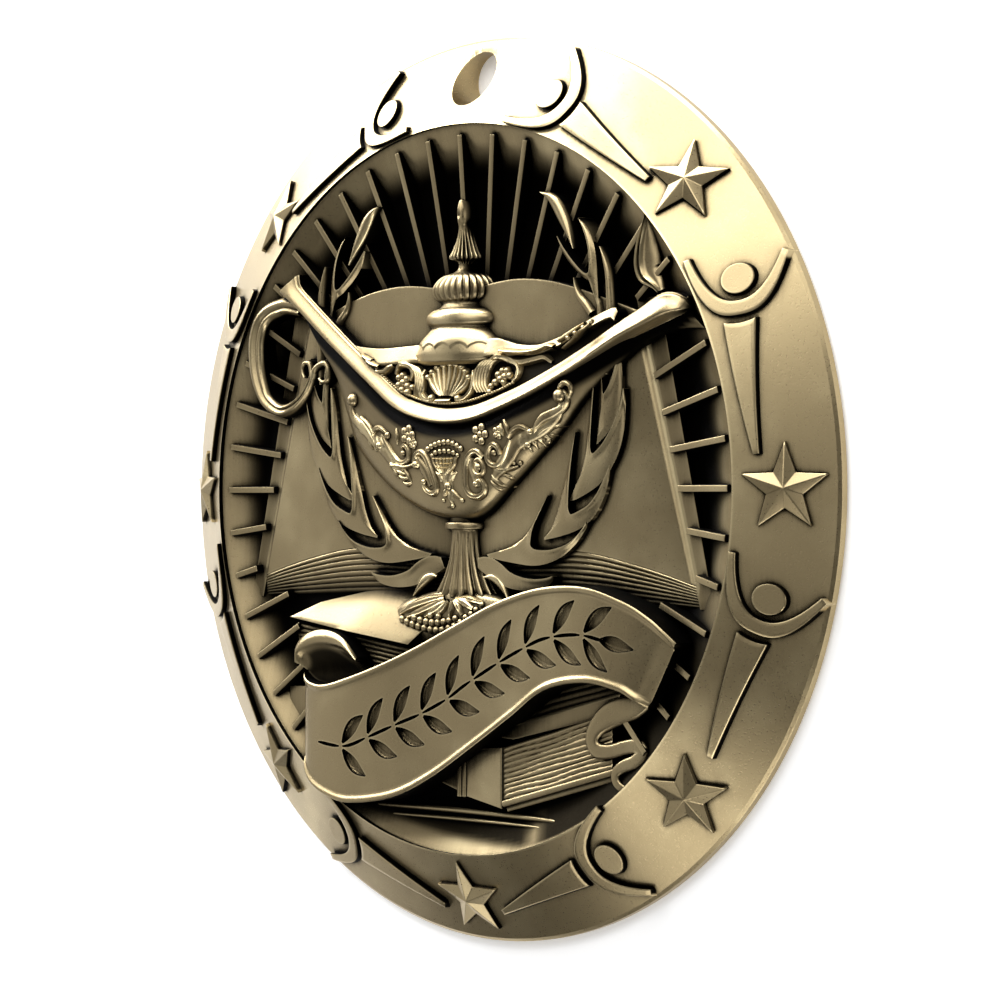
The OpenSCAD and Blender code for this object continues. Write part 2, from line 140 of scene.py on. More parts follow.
def standOnFloor(bm, base=None, edge=0.0):
    # walls down to base, and a rounded top edge
    base = medal["root"] if base is None else base
    top = wallsDown(bm, lambda co: base)
    if edge:
        roundEdges(bm, top, edge, clamp_overlap=True)
    return bm


def halfRound(s):
    return math.sqrt(max(0.0, 1 - s * s))


def hump(s, at, width):
    return math.exp(-((s - at) / width) ** 2)


def directionAt(path, i):
    a, b = path[max(i - 1, 0)], path[min(i + 1, len(path) - 1)]
    return Vector((b[0] - a[0], b[1] - a[1])).normalized()


def strand(rows, count, section, crown=halfRound, base=None):
    # a raised strip along rows of x, y, half width, shoulder height, crest height
    path = smoothRows(rows, count)

    def shape(u, v):
        i = min(int(round(u * count)), count)
        p, d = path[i], directionAt(path, i)
        s = math.sin((v - 0.5) * math.pi)
        return (p[0] - d[1] * p[2] * s, p[1] + d[0] * p[2] * s, p[3] + (p[4] - p[3]) * crown(s))

    return standOnFloor(sheet(count, section, shape), base)


def inShares(rows, low, high):
    # rows of x, y, half width in thousandths, as a strand's rows between two heights in mm
    return [(x * share, y * share, w * share, low, high) for x, y, w in rows]


def join(target, parts):
    for bm in parts:
        spare = bpy.data.meshes.new("spare")
        bm.to_mesh(spare)
        bm.free()
        target.from_mesh(spare)
        bpy.data.meshes.remove(spare)
    return target


applied = {  # scrolls, leaves and beads laid on a surface, mm and shares of their own width
    "steps": 6,  # between two points
    "section": 8,
    "above": 20,  # start of the ray that looks for the surface
    "sunk": 0.12,
    "foot": 0.6,
    "thinEnds": 0.25,
    "roundness": 0.75,
    "grooveWidth": 0.25,
    "beadLift": 0.1,
}


def surfaceAt(tree, x, y, fallback):
    hit = tree.ray_cast(Vector((x, y, applied["above"])), Vector((0, 0, -1)))[0]
    return hit.z if hit else fallback


def tendril(tree, points, widths, rise, groove):
    # a scroll or leaf lying on a surface; points in thousandths, widths are half widths along it
    count = applied["steps"] * (len(points) - 1)
    path = smoothRows([(x * share, y * share) for x, y in points], count)
    mids = [surfaceAt(tree, p[0], p[1], medal["floor"]) for p in path]
    mids = [sum(mids[max(i - 2, 0):i + 3]) / len(mids[max(i - 2, 0):i + 3]) for i in range(count + 1)]

    def shape(u, v):
        i = min(int(round(u * count)), count)
        d = directionAt(path, i)
        s = math.sin((v - 0.5) * math.pi)
        half = tableAt([(w,) for w in widths], u)[0] * share
        crown = max(0.0, 1 - s * s) ** applied["roundness"]
        crown -= groove * hump(s, 0, applied["grooveWidth"])
        crown *= min(1, half / (max(widths) * share) + applied["thinEnds"])
        return (path[i][0] - d[1] * half * s, path[i][1] + d[0] * half * s,
                mids[i] - applied["sunk"] + (rise + applied["sunk"]) * crown)

    return standOnFloor(sheet(count, applied["section"], shape), min(mids) - applied["foot"])


def beads(tree, places, flat, smooth=10):
    # spheres on a surface, their height times flat; places are x, y, radius in thousandths
    whole = bmesh.new()
    for x, y, r in places:
        bm = bmesh.new()
        bmesh.ops.create_uvsphere(bm, u_segments=smooth, v_segments=max(smooth - 4, 6), radius=r * share)
        z = surfaceAt(tree, x * share, y * share, medal["floor"]) + applied["beadLift"] * r * share
        for v in bm.verts:
            v.co = (v.co.x + x * share, v.co.y + y * share, v.co.z * flat + z)
        join(whole, [bm])
    return whole


def mirrored(bm):
    other = bm.copy()
    for v in other.verts:
        v.co.x = -v.co.x
    bmesh.ops.reverse_faces(other, faces=other.faces)
    return other


def newObject(bm, name):
    mesh = bpy.data.meshes.new(name)
    bm.to_mesh(mesh)
    bm.free()
    piece = bpy.data.objects.new(name, mesh)
    bpy.context.collection.objects.link(piece)
    return piece


def finishPiece(bm, name, crease, patinaAndShade=None):
    bmesh.ops.remove_doubles(bm, verts=bm.verts, dist=weld)
    bmesh.ops.recalc_face_normals(bm, faces=bm.faces)
    for f in bm.faces:
        f.smooth = True
    for e in bm.edges:
        e.smooth = len(e.link_faces) == 2 and e.calc_face_angle(math.pi) < math.radians(crease)
    if patinaAndShade:  # black patina left in the work, and on some pieces painted shade, painted on the points; a value under 0 is rubbed clean
        layer = bm.verts.layers.float.new("patinaAndShade")
        for v in bm.verts:
            v[layer] = patinaAndShade(v.co.x, v.co.y)
    bmesh.ops.scale(bm, vec=(mm, mm, mm), verts=bm.verts)
    piece = newObject(bm, name)
    piece.data.materials.append(antiqueBronze)
    even = piece.modifiers.new("evenShading", "WEIGHTED_NORMAL")  # flat tops read flat beside rounded edges
    even.keep_sharp, even.weight = True, evenWeight
    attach(piece, "root")
    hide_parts("medallion")
    return piece


def bakeModifiers(piece, tool):
    # the piece keeps the mesh that its modifiers make, and the cutting tool goes
    bpy.context.view_layer.update()
    ready = bpy.data.meshes.new_from_object(piece.evaluated_get(bpy.context.evaluated_depsgraph_get()))
    piece.modifiers.clear()
    piece.data = ready
    bpy.data.objects.remove(tool)


def ease(value, low, high):
    t = min(max((value - low) / (high - low), 0.0), 1.0)
    return t * t * (3 - 2 * t)


def lineAt(rows, x):
    # y of a line through rows of x, y that run from left to right
    for a, b in zip(rows, rows[1:]):
        if x <= b[0]:
            return a[1] + (b[1] - a[1]) * min(max((x - a[0]) / (b[0] - a[0]), 0), 1)
    return rows[-1][1]


def toLinear(text):
    rgb = [int(text[i:i + 2], 16) / 255 for i in (1, 3, 5)]
    return tuple(c / 12.92 if c <= 0.04045 else ((c + 0.055) / 1.055) ** 2.4 for c in rgb) + (1.0,)


def addNode(tree, kind, settings=None, links=None):
    node = tree.nodes.new(kind)
    for key, value in (settings or {}).items():
        if isinstance(key, int) or key in node.inputs.keys():
            node.inputs[key].default_value = value
        else:
            setattr(node, key, value)
    for key, source in (links or {}).items():
        tree.links.new(source, node.inputs[key])
    return node


bronze = {
    "worn": "#D3C196",  # relieved high points
    "plate": "#AA9873",
    "patina": "#040302",  # black oxide left in the recesses
    "roughness": 0.3,
    "patinaRoughness": 0.75,
    "grain": 0.16,  # mm, blasted satin grain drawn coarser than the real one so that it shows
    "grainRoughness": 0.16,
    "bump": (0.22, 0.03),  # strength, and depth in mm
    "recess": 2.0,  # mm, reach of the soft darkening beside a wall
    "recessRange": (0.5, 0.95),  # openness where the brush starts to reach, and where it reaches fully
    "line": 0.5,  # mm, reach of the black line in the corner itself
    "lineRange": (0.5, 0.84),
    "wear": 0.22,  # mm, width of the bright rubbed edges
    "wearRange": (0.9, 0.45),
    "facingRange": (0.12, 0.62),  # steep walls keep their black
    "deep": (3.05, 4.1),  # mm, heights between which the field's black ends
    "cloud": 9.0,  # mm, size of the uneven patches
    "cloudRange": (0.45, 0.9),
    "streak": (0.2, 3.5),  # mm, width and length of the brush marks
    "uneven": (0.12, 0.18),  # share of the patches and of the brush marks
    "cleanRange": (0.0, 0.4),
    "fieldEdge": (0.15, 0.1),  # mm, inwards and outwards, where the field's rule ends
    "brightEdge": (0.4, 0.2),  # mm inwards of the outer edge
    "brightBack": (-0.4, -0.1),
    "brightHole": (0.1, 0.25),  # mm outwards of the hole's wall
}


def makeBronze():
    # zinc die casting plated in antique bronze, oxidised black and then relieved by brushing
    material = bpy.data.materials.new("antiqueBronze")
    material.use_nodes = True
    tree = material.node_tree
    tree.nodes.clear()

    def ramp(value, low, high, toLow=0.0, toHigh=1.0):
        return addNode(tree, "ShaderNodeMapRange", {
            "interpolation_type": "SMOOTHSTEP", "From Min": low, "From Max": high,
            "To Min": toLow, "To Max": toHigh}, {"Value": value}).outputs["Result"]

    def maths(kind, a, b):
        links = {i: v for i, v in enumerate((a, b)) if not isinstance(v, (int, float))}
        values = {i: v for i, v in enumerate((a, b)) if isinstance(v, (int, float))}
        return addNode(tree, "ShaderNodeMath", {"operation": kind, **values}, links).outputs[0]

    def vectorMaths(kind, value, a, output):
        return addNode(tree, "ShaderNodeVectorMath", {"operation": kind, 1: a}, {0: value}).outputs[output]

    def openness(reach, samples, **more):
        return addNode(tree, "ShaderNodeAmbientOcclusion", {
            "samples": samples, "Distance": reach * mm, **more}).outputs["AO"]

    def noise(where, scale, detail, **more):
        return addNode(tree, "ShaderNodeTexNoise", {"Scale": scale, "Detail": detail, **more},
                       {"Vector": where}).outputs["Fac"]

    def swing(value, much):
        return maths("MULTIPLY", maths("SUBTRACT", value, 0.5), much)

    place = addNode(tree, "ShaderNodeTexCoord").outputs["Object"]
    surface = addNode(tree, "ShaderNodeNewGeometry")
    xyz = addNode(tree, "ShaderNodeSeparateXYZ", links={0: place})
    flat = vectorMaths("MULTIPLY", place, (1, 1, 0), 0)
    out = vectorMaths("LENGTH", flat, (0, 0, 0), "Value")
    facing = addNode(tree, "ShaderNodeSeparateXYZ", links={0: surface.outputs["Normal"]}).outputs["Z"]

    # where the brush reaches: open, upward surfaces
    cloud = noise(place, 1 / (bronze["cloud"] * mm), 3.0, Roughness=0.55)
    width, length = bronze["streak"]
    along = vectorMaths("MULTIPLY", place, (1 / (width * mm), 1 / (length * mm), 1 / (length * mm)), 0)
    streak = noise(along, 1.0, 3.0)
    uneven = maths("ADD", swing(cloud, bronze["uneven"][0]), swing(streak, bronze["uneven"][1]))
    reach = ramp(maths("ADD", openness(bronze["recess"], 6), uneven), *bronze["recessRange"])
    reach = maths("MULTIPLY", reach, ramp(openness(bronze["line"], 4), *bronze["lineRange"]))
    rubbed = ramp(openness(bronze["wear"], 6, inside=True, only_local=True), *bronze["wearRange"])
    upward = ramp(facing, *bronze["facingRange"])
    low, top = bronze["deep"]
    high = ramp(xyz.outputs["Z"], low * mm, top * mm)
    start, end = bronze["fieldEdge"]
    inField = ramp(out, (medal["fieldRadius"] - start) * mm, (medal["fieldRadius"] + end) * mm, 1.0, 0.0)
    high = maths("MAXIMUM", high, maths("SUBTRACT", 1.0, inField))
    polish = maths("MULTIPLY", maths("MULTIPLY", reach, upward), high)
    polish = maths("MAXIMUM", polish, maths("MULTIPLY", maths("MULTIPLY", rubbed, upward), high))

    # black patina, painted shade and clean places painted on the pieces
    patinaAndShade = addNode(tree, "ShaderNodeAttribute", {"attribute_name": "patinaAndShade"}).outputs["Fac"]
    clean = maths("MAXIMUM", maths("MULTIPLY", patinaAndShade, -1.0), 0.0)
    clean = maths("MULTIPLY", clean, ramp(facing, *bronze["cleanRange"]))
    polish = maths("MULTIPLY", polish, maths("SUBTRACT", 1.0, maths("MAXIMUM", patinaAndShade, 0.0)))
    polish = maths("MINIMUM", maths("ADD", polish, clean), 1.0)

    # the outer edge, the back and the wall of the hole stay bright
    start, end = bronze["brightEdge"]
    edgeWall = ramp(out, (medal["radius"] - start) * mm, (medal["radius"] - end) * mm)
    backSide = ramp(facing, *bronze["brightBack"], 1.0, 0.0)
    toHole = vectorMaths("DISTANCE", flat, (0, medal["holeAt"] * mm, 0), "Value")
    start, end = bronze["brightHole"]
    holeWall = ramp(toHole, (medal["holeRadius"] + start) * mm, (medal["holeRadius"] + end) * mm, 1.0, 0.0)
    polish = maths("MAXIMUM", polish, maths("MAXIMUM", edgeWall, maths("MAXIMUM", backSide, holeWall)))

    tone = addNode(tree, "ShaderNodeMix", {
        "data_type": "RGBA", 6: toLinear(bronze["plate"]), 7: toLinear(bronze["worn"])},
        {0: maths("MAXIMUM", ramp(cloud, *bronze["cloudRange"]), rubbed)}).outputs[2]
    colour = addNode(tree, "ShaderNodeMix", {"data_type": "RGBA", 6: toLinear(bronze["patina"])},
                     {0: polish, 7: tone}).outputs[2]
    grain = noise(place, 1 / (bronze["grain"] * mm), 2.0)
    rough = maths("ADD", ramp(polish, 0.0, 1.0, bronze["patinaRoughness"], bronze["roughness"]),
                  swing(grain, bronze["grainRoughness"]))
    strength, depth = bronze["bump"]
    bump = addNode(tree, "ShaderNodeBump", {"Strength": strength, "Distance": depth * mm},
                   {"Height": grain}).outputs["Normal"]
    skin = addNode(tree, "ShaderNodeBsdfPrincipled", {"Metallic": 1.0},
                   {"Base Color": colour, "Roughness": rough, "Normal": bump})
    addNode(tree, "ShaderNodeOutputMaterial", links={"Surface": skin.outputs[0]})
    return material


antiqueBronze = makeBronze()
print("material ready")


disc = {
    "turns": 240,
    "bankPoints": 16,
    "bankCurve": 1.35,
    "recessSlope": 0.4,
    "hole": 96,
    "drill": 20,
    "round": 0.12,
    "roundFrom": 22,  # degrees
    "crease": 12,
}
bankPatinaAndShade = {  # black patina and painted shade on the bank, set by bearing; bearings in degrees, distances from the centre in mm
    "side": (0.97, 25, 28.2),  # how black, full up to, gone by
    "sideShift": (0.8, -10, 20),  # it reaches further out from the left to the right
    "clean": (0.4, 27.6, 29.6),
    "below": (226, 238, 283, 290),  # the bright crescent lies between these
    "crescent": (0.96, 0.7, 1.0),  # black patina and painted shade under it, what is lifted, width of the change
    "crescentTip": (28.6, 1.7, 262, 26),  # its inner line, which moves out towards both ends
    "right": (0.95, 283, 290, 335, 350),
    "rimLine": (0.15, 0.02),
}


def makeDisc():
    r, floor = medal["radius"], medal["floor"]
    inner = medal["fieldRadius"]
    bankTop = medal["rimTop"] - medal["step"]
    ring = r - medal["border"]
    profile = [(0, medal["recess"]), (ring - disc["recessSlope"], medal["recess"]), (ring, 0),
               (r - medal["edgeBevel"], 0), (r, medal["edgeBevel"]),
               (r, medal["edge"] - medal["edgeBevel"]), (r - medal["edgeBevel"], medal["edge"]),
               (inner, medal["rimTop"]), (inner, bankTop)]
    for i in range(1, disc["bankPoints"] + 1):
        t = i / disc["bankPoints"]
        rise = (bankTop - floor) * (1 - t) ** disc["bankCurve"]
        profile.append((inner - medal["bank"] * t, floor + rise))
    profile.append((0, floor))
    bm = bmesh.new()
    verts = [bm.verts.new((x, 0, z)) for x, z in profile]
    edges = [bm.edges.new(pair) for pair in zip(verts, verts[1:])]
    bmesh.ops.spin(bm, geom=verts + edges, cent=(0, 0, 0), axis=(0, 0, 1), angle=2 * math.pi,
                   steps=disc["turns"], use_merge=True)
    bmesh.ops.remove_doubles(bm, verts=bm.verts, dist=weld)

    def patinaAndShadeOnBank(x, y):
        # black patina and painted shade inwards of the bank between the rays, and painted shade round the
        # bright crescent below
        angle, away = math.degrees(math.atan2(y, x)) % 360, math.hypot(x, y)
        a, b, c, d = bankPatinaAndShade["below"]
        below = ease(angle, a, b) * (1 - ease(angle, c, d))
        shift = bankPatinaAndShade["sideShift"][0] + ease(x, *bankPatinaAndShade["sideShift"][1:])
        black, full, gone = bankPatinaAndShade["side"]
        side = black * (1 - ease(away, full + shift, gone + shift))
        clean, start, end = bankPatinaAndShade["clean"]
        side -= clean * ease(away, start + shift, end)
        line, outwards, middle, half = bankPatinaAndShade["crescentTip"]
        tip = line + outwards * ((angle - middle) / half) ** 2
        black, lifted, width = bankPatinaAndShade["crescent"]
        crescent = black - lifted * ease(away, tip, tip + width)
        black, a, b, c, d = bankPatinaAndShade["right"]
        right = black * ease(angle, a, b) * (1 - ease(angle, c, d))
        start, end = bankPatinaAndShade["rimLine"]
        return max(side + (crescent - side) * below, right) * (1 - ease(away, inner - start, inner - end))

    piece = finishPiece(bm, "disc", disc["crease"], patinaAndShadeOnBank)

    tool = bmesh.new()
    bmesh.ops.create_cone(tool, cap_ends=True, segments=disc["hole"], radius1=medal["holeRadius"],
                          radius2=medal["holeRadius"], depth=disc["drill"])
    for v in tool.verts:
        v.co = (v.co + Vector((0, medal["holeAt"], medal["floor"]))) * mm
    drill = newObject(tool, "drill")
    cut = piece.modifiers.new("hole", "BOOLEAN")
    cut.operation, cut.object, cut.solver = "DIFFERENCE", drill, "EXACT"
    soft = piece.modifiers.new("softEdges", "BEVEL")
    soft.width, soft.segments, soft.limit_method = disc["round"] * mm, 2, "ANGLE"
    soft.angle_limit, soft.profile, soft.harden_normals = math.radians(disc["roundFrom"]), 0.5, True
    bakeModifiers(piece, drill)
    return piece


makeDisc()
print("disc ready")


rays = {
    "count": 48,
    "width": 0.85,
    "drop": 0.45,  # outer end below the rim's inner edge
    "fall": 0.08,  # for each mm inwards
    "gap": 0.5,
    "low": 6.0,  # length of the lower rays
    "lowFrom": -21,  # degrees
    "clear": 40,  # degrees without rays each way from the bottom
    "inner": (790, 0.29, 520),  # the line behind the book where they end, thousandths
    "endBevel": 0.35,
    "round": 0.1,
    "draft": 0.16,
    "innerShade": (22.5, 28.0, 0.93),  # painted shade on the inner ends: full up to, gone by, how black
    "innerShadeAbove": (7, 13),
    "crease": 30,
}


def rayInner(a):
    s, c = math.sin(a), abs(math.cos(a))
    wide, lean, high = rays["inner"]
    side = wide / (c + lean * s)
    if s <= math.sin(math.radians(rays["lowFrom"])):
        return medal["fieldRadius"] - rays["gap"] - rays["low"]
    return share * (min(side, high / s) if s > 0 else side)


def makeRays():
    whole = bmesh.new()
    outer = medal["fieldRadius"] - rays["gap"]
    topOut = medal["rimTop"] - rays["drop"]
    for i in range(rays["count"]):
        degrees = 360 / rays["count"] * i
        if abs(degrees - 270) <= rays["clear"]:
            continue
        a = math.radians(degrees)
        inner = rayInner(a)
        bm = bmesh.new()
        bmesh.ops.create_cube(bm, size=1)
        for v in bm.verts:
            upper, far = v.co.z > 0, v.co.x > 0
            half = rays["width"] / 2 - (rays["draft"] if upper else 0)
            z = (topOut if far else topOut - rays["fall"] * (outer - inner)) if upper else medal["root"]
            end = outer - (rays["endBevel"] if upper else 0) if far else inner
            v.co = (end, half * (1 if v.co.y > 0 else -1), z)
        tops = [e for e in bm.edges if all(v.co.z > medal["floor"] for v in e.verts)]
        roundEdges(bm, tops, rays["round"])
        bmesh.ops.rotate(bm, verts=bm.verts, cent=(0, 0, 0), matrix=Matrix.Rotation(a, 3, "Z"))
        join(whole, [bm])

    # painted shade: the upper rays darken towards their inner ends
    def shadedInnerEnds(x, y):
        full, gone, black = rays["innerShade"]
        return black * (1 - ease(math.hypot(x, y), full, gone)) * ease(y, *rays["innerShadeAbove"])

    return finishPiece(whole, "rays", rays["crease"], shadedInnerEnds)


makeRays()


stars = {
    "radius": 3.6,
    "notch": 0.42,  # inner corners, share of the radius
    "peak": 0.85,
    "wall": 0.28,
    "ring": 0.9,  # share of the disc's radius
    "lean": {3: 8, 5: -8},  # degrees, of the two lowest at the sides
    "round": 0.07,
    "root": 0.6,
    "crease": 20,
}


def makeStars():
    whole = bmesh.new()
    away = medal["radius"] * stars["ring"]
    for i in range(1, 8):  # eight places, and the first is the hole's
        bm = bmesh.new()
        bmesh.ops.create_circle(bm, cap_ends=True, segments=10, radius=stars["radius"])
        first = bm.verts[:][0].co
        upright = Matrix.Rotation(math.radians(90) - math.atan2(first.y, first.x), 3, "Z")
        bmesh.ops.rotate(bm, verts=bm.verts, cent=(0, 0, 0), matrix=upright)
        for v in bm.verts:
            turn = round((math.degrees(math.atan2(v.co.y, v.co.x)) - 90) / 36) % 2
            v.co = v.co * (stars["notch"] if turn else 1.0)
            v.co.z = -stars["root"]
        face = bm.faces[:][0]
        up = bmesh.ops.extrude_face_region(bm, geom=[face])["geom"]
        for v in up:
            if isinstance(v, bmesh.types.BMVert):
                v.co.z = stars["wall"]
        top = [f for f in up if isinstance(f, bmesh.types.BMFace)]
        peak = bmesh.ops.poke(bm, faces=top)["verts"][0]
        peak.co.z = stars["peak"]
        sharp = [e for e in bm.edges if min(v.co.z for v in e.verts) > 0]
        roundEdges(bm, sharp, stars["round"])
        a = math.radians(90 + 45 * i)
        lean = math.radians(stars["lean"].get(i, 0))
        place = (Matrix.Translation((away * math.cos(a), away * math.sin(a), rimHeight(away, 0)))
                 @ Matrix.Rotation(a, 4, "Z") @ Matrix.Rotation(math.atan(rimSlope), 4, "Y")
                 @ Matrix.Rotation(lean - a, 4, "Z"))
        bm.transform(place)
        join(whole, [bm])
    return finishPiece(whole, "stars", stars["crease"])


makeStars()


figures = {
    "length": 13.9,
    "thickness": 0.5,
    "head": 1.22,
    "armOut": 0.285,
    "armIn": 0.27,
    "tip": 0.036,
    "outerCurve": (-0.21, 11.75, 2.76),
    "innerCurve": (-0.126, 6.92, 2.28),
    "chest": 0.083,
    "chestAt": 0.24,
    "sag": 0.015,
    "foot": 0.016,
    "root": 0.6,
    "headRing": 0.4,
    "armSteps": (40, 4),
    "bodySteps": (6, 24),
    "round": 0.11,
    "crease": 30,
    "places": [(28.6, 0.895, -18), (73.3, 0.888, -17.5), (-14.5, 0.897, -11.5), (-61.4, 0.893, -5.5)],
}


def makeFigures():
    whole = bmesh.new()
    size = figures["length"]

    def curve(kind, x):
        c = figures[kind]
        return (size * x, size * (c[0] + c[1] * abs(x) ** c[2]))

    def arms(u, v):
        span, tip = figures["armOut"] + figures["armIn"], figures["tip"]
        xo = -figures["armOut"] + span * u
        xi = tip - figures["armOut"] + (span - 2 * tip) * u
        a, b = curve("outerCurve", xo), curve("innerCurve", xi)
        return (a[0] + (b[0] - a[0]) * v, a[1] + (b[1] - a[1]) * v, 0)

    def body(u, v):
        half = figures["chest"] + (figures["foot"] - figures["chest"]) * v
        dip = figures["sag"] * (1 - (2 * u - 1) ** 2) * (1 - v)
        down = figures["chestAt"] + dip
        return (size * half * (2 * u - 1), -size * (down + (1 - down) * v), 0)

    for angle, away, lean in figures["places"]:
        parts = [sheet(*figures["armSteps"], arms), sheet(*figures["bodySteps"], body)]
        head = bmesh.new()
        bmesh.ops.create_circle(head, cap_ends=True, segments=40, radius=figures["head"])
        bmesh.ops.inset_region(head, faces=head.faces[:], thickness=figures["head"] * figures["headRing"])
        parts.append(head)
        turn = Matrix.Rotation(math.radians(angle), 4, "Z")
        place = turn @ Matrix.Translation((medal["radius"] * away, 0, 0))
        place = place @ Matrix.Rotation(math.radians(lean), 4, "Z")
        for bm in parts:
            bm.transform(place)
            for v in bm.verts:
                v.co.z = rimHeight(v.co.x, v.co.y) + figures["thickness"]
            top = wallsDown(bm, lambda co: co.z - figures["thickness"] - figures["root"])
            roundEdges(bm, top, figures["round"])
            join(whole, [bm, mirrored(bm)])
    return finishPiece(whole, "figures", figures["crease"])


makeFigures()
print("rim ready")


book = {
    "rise": 1.58,
    "columns": [  # x top, y top, x bottom, y bottom, height shares at top and bottom
        (0, 530, 0, -192, 0.72, 0.3), (60, 548, 90, -184, 0.92, 0.52), (150, 562, 210, -172, 1, 0.7),
        (240, 566, 340, -162, 1, 0.76), (340, 556, 480, -170, 1, 0.75), (440, 533, 620, -195, 0.96, 0.7),
        (545, 500, 745, -224, 0.86, 0.62), (655, 462, 851, -254, 0.66, 0.54)],
    "lowLine": (-278, -0.036),  # lower edge of the fanned page ends, and its fall for each unit outwards
    "lowShare": 0.2,
    "leaves": 8,
    "ridge": 0.13,
    "coverEdge": (712, 901, 500, -312),  # outer edge: x at top and bottom, y at top and bottom
    "coverTop": 0.72,
    "coverTuck": 14,  # how far it starts under the pages
    "coverDip": 0.12,
    "coverRound": 0.12,
    "coverSteps": (8, 30),
    "curl": 0.42,
    "curlFrom": 0.955,  # share of the way across
    "round": 0.07,
    "ridgeSink": 0.1,
    "ridgeShape": 0.8,
    "across": 160,  # steps over a page
    "down": 110,
    "perLeaf": 7,
    "crease": 38,
    "outline": (0.92, 4, 13),  # black left along the leaves' feet: how much, full to, gone by
}


def makeBook():
    whole = bmesh.new()
    wide = book["across"]
    smooth = smoothRows(book["columns"], wide)
    floor = medal["floor"]

    def curl(u):
        return book["curl"] * max(0.0, (u - book["curlFrom"]) / (1 - book["curlFrom"])) ** 2

    def page(side):
        def shape(u, v):
            c = rowAt(smooth, u)
            x, y = acrossRow(c, v)
            z = floor + book["rise"] * (c[4] + (c[5] - c[4]) * v)
            z -= curl(u)
            return (side * x * share, y * share, z)
        return standOnFloor(sheet(wide, book["down"], shape), edge=book["round"])

    def fan(side):
        def shape(u, v):
            c = rowAt(smooth, u)
            reach = c[3] - book["lowLine"][0] - book["lowLine"][1] * c[2]
            k = 1 + reach * v / (c[1] - c[3])
            x, y = acrossRow(c, k)
            z = floor + book["rise"] * (c[5] + (book["lowShare"] - c[5]) * v) - book["ridgeSink"]
            z += book["ridge"] * abs(math.sin(math.pi * v * book["leaves"])) ** book["ridgeShape"]
            z -= curl(u)
            return (side * x * share, y * share, z)
        return standOnFloor(sheet(wide, book["leaves"] * book["perLeaf"], shape))

    def cover(side):
        last = book["columns"][-1]
        x0, x1, y0, y1 = book["coverEdge"]

        def shape(u, v):
            y = y0 + (y1 - y0) * v
            outX = x0 + (x1 - x0) * v
            inX = last[0] - book["coverTuck"] + (last[2] - last[0]) * (last[1] - y) / (last[1] - last[3])
            z = floor + book["coverTop"] - book["coverDip"] * math.sin(math.pi * u)
            return (side * (inX + (outX - inX) * u) * share, y * share, z)
        return standOnFloor(sheet(*book["coverSteps"], shape), edge=book["coverRound"])

    for side in (-1, 1):
        join(whole, [page(side), fan(side), cover(side)])
    edges = leafEdges()

    def besideLeaves(x, y):
        most, full, gone = book["outline"]
        return most * (1 - ease(edges.find((abs(x) / share, y / share, 0))[2], full, gone))

    return finishPiece(whole, "openBook", book["crease"], besideLeaves)


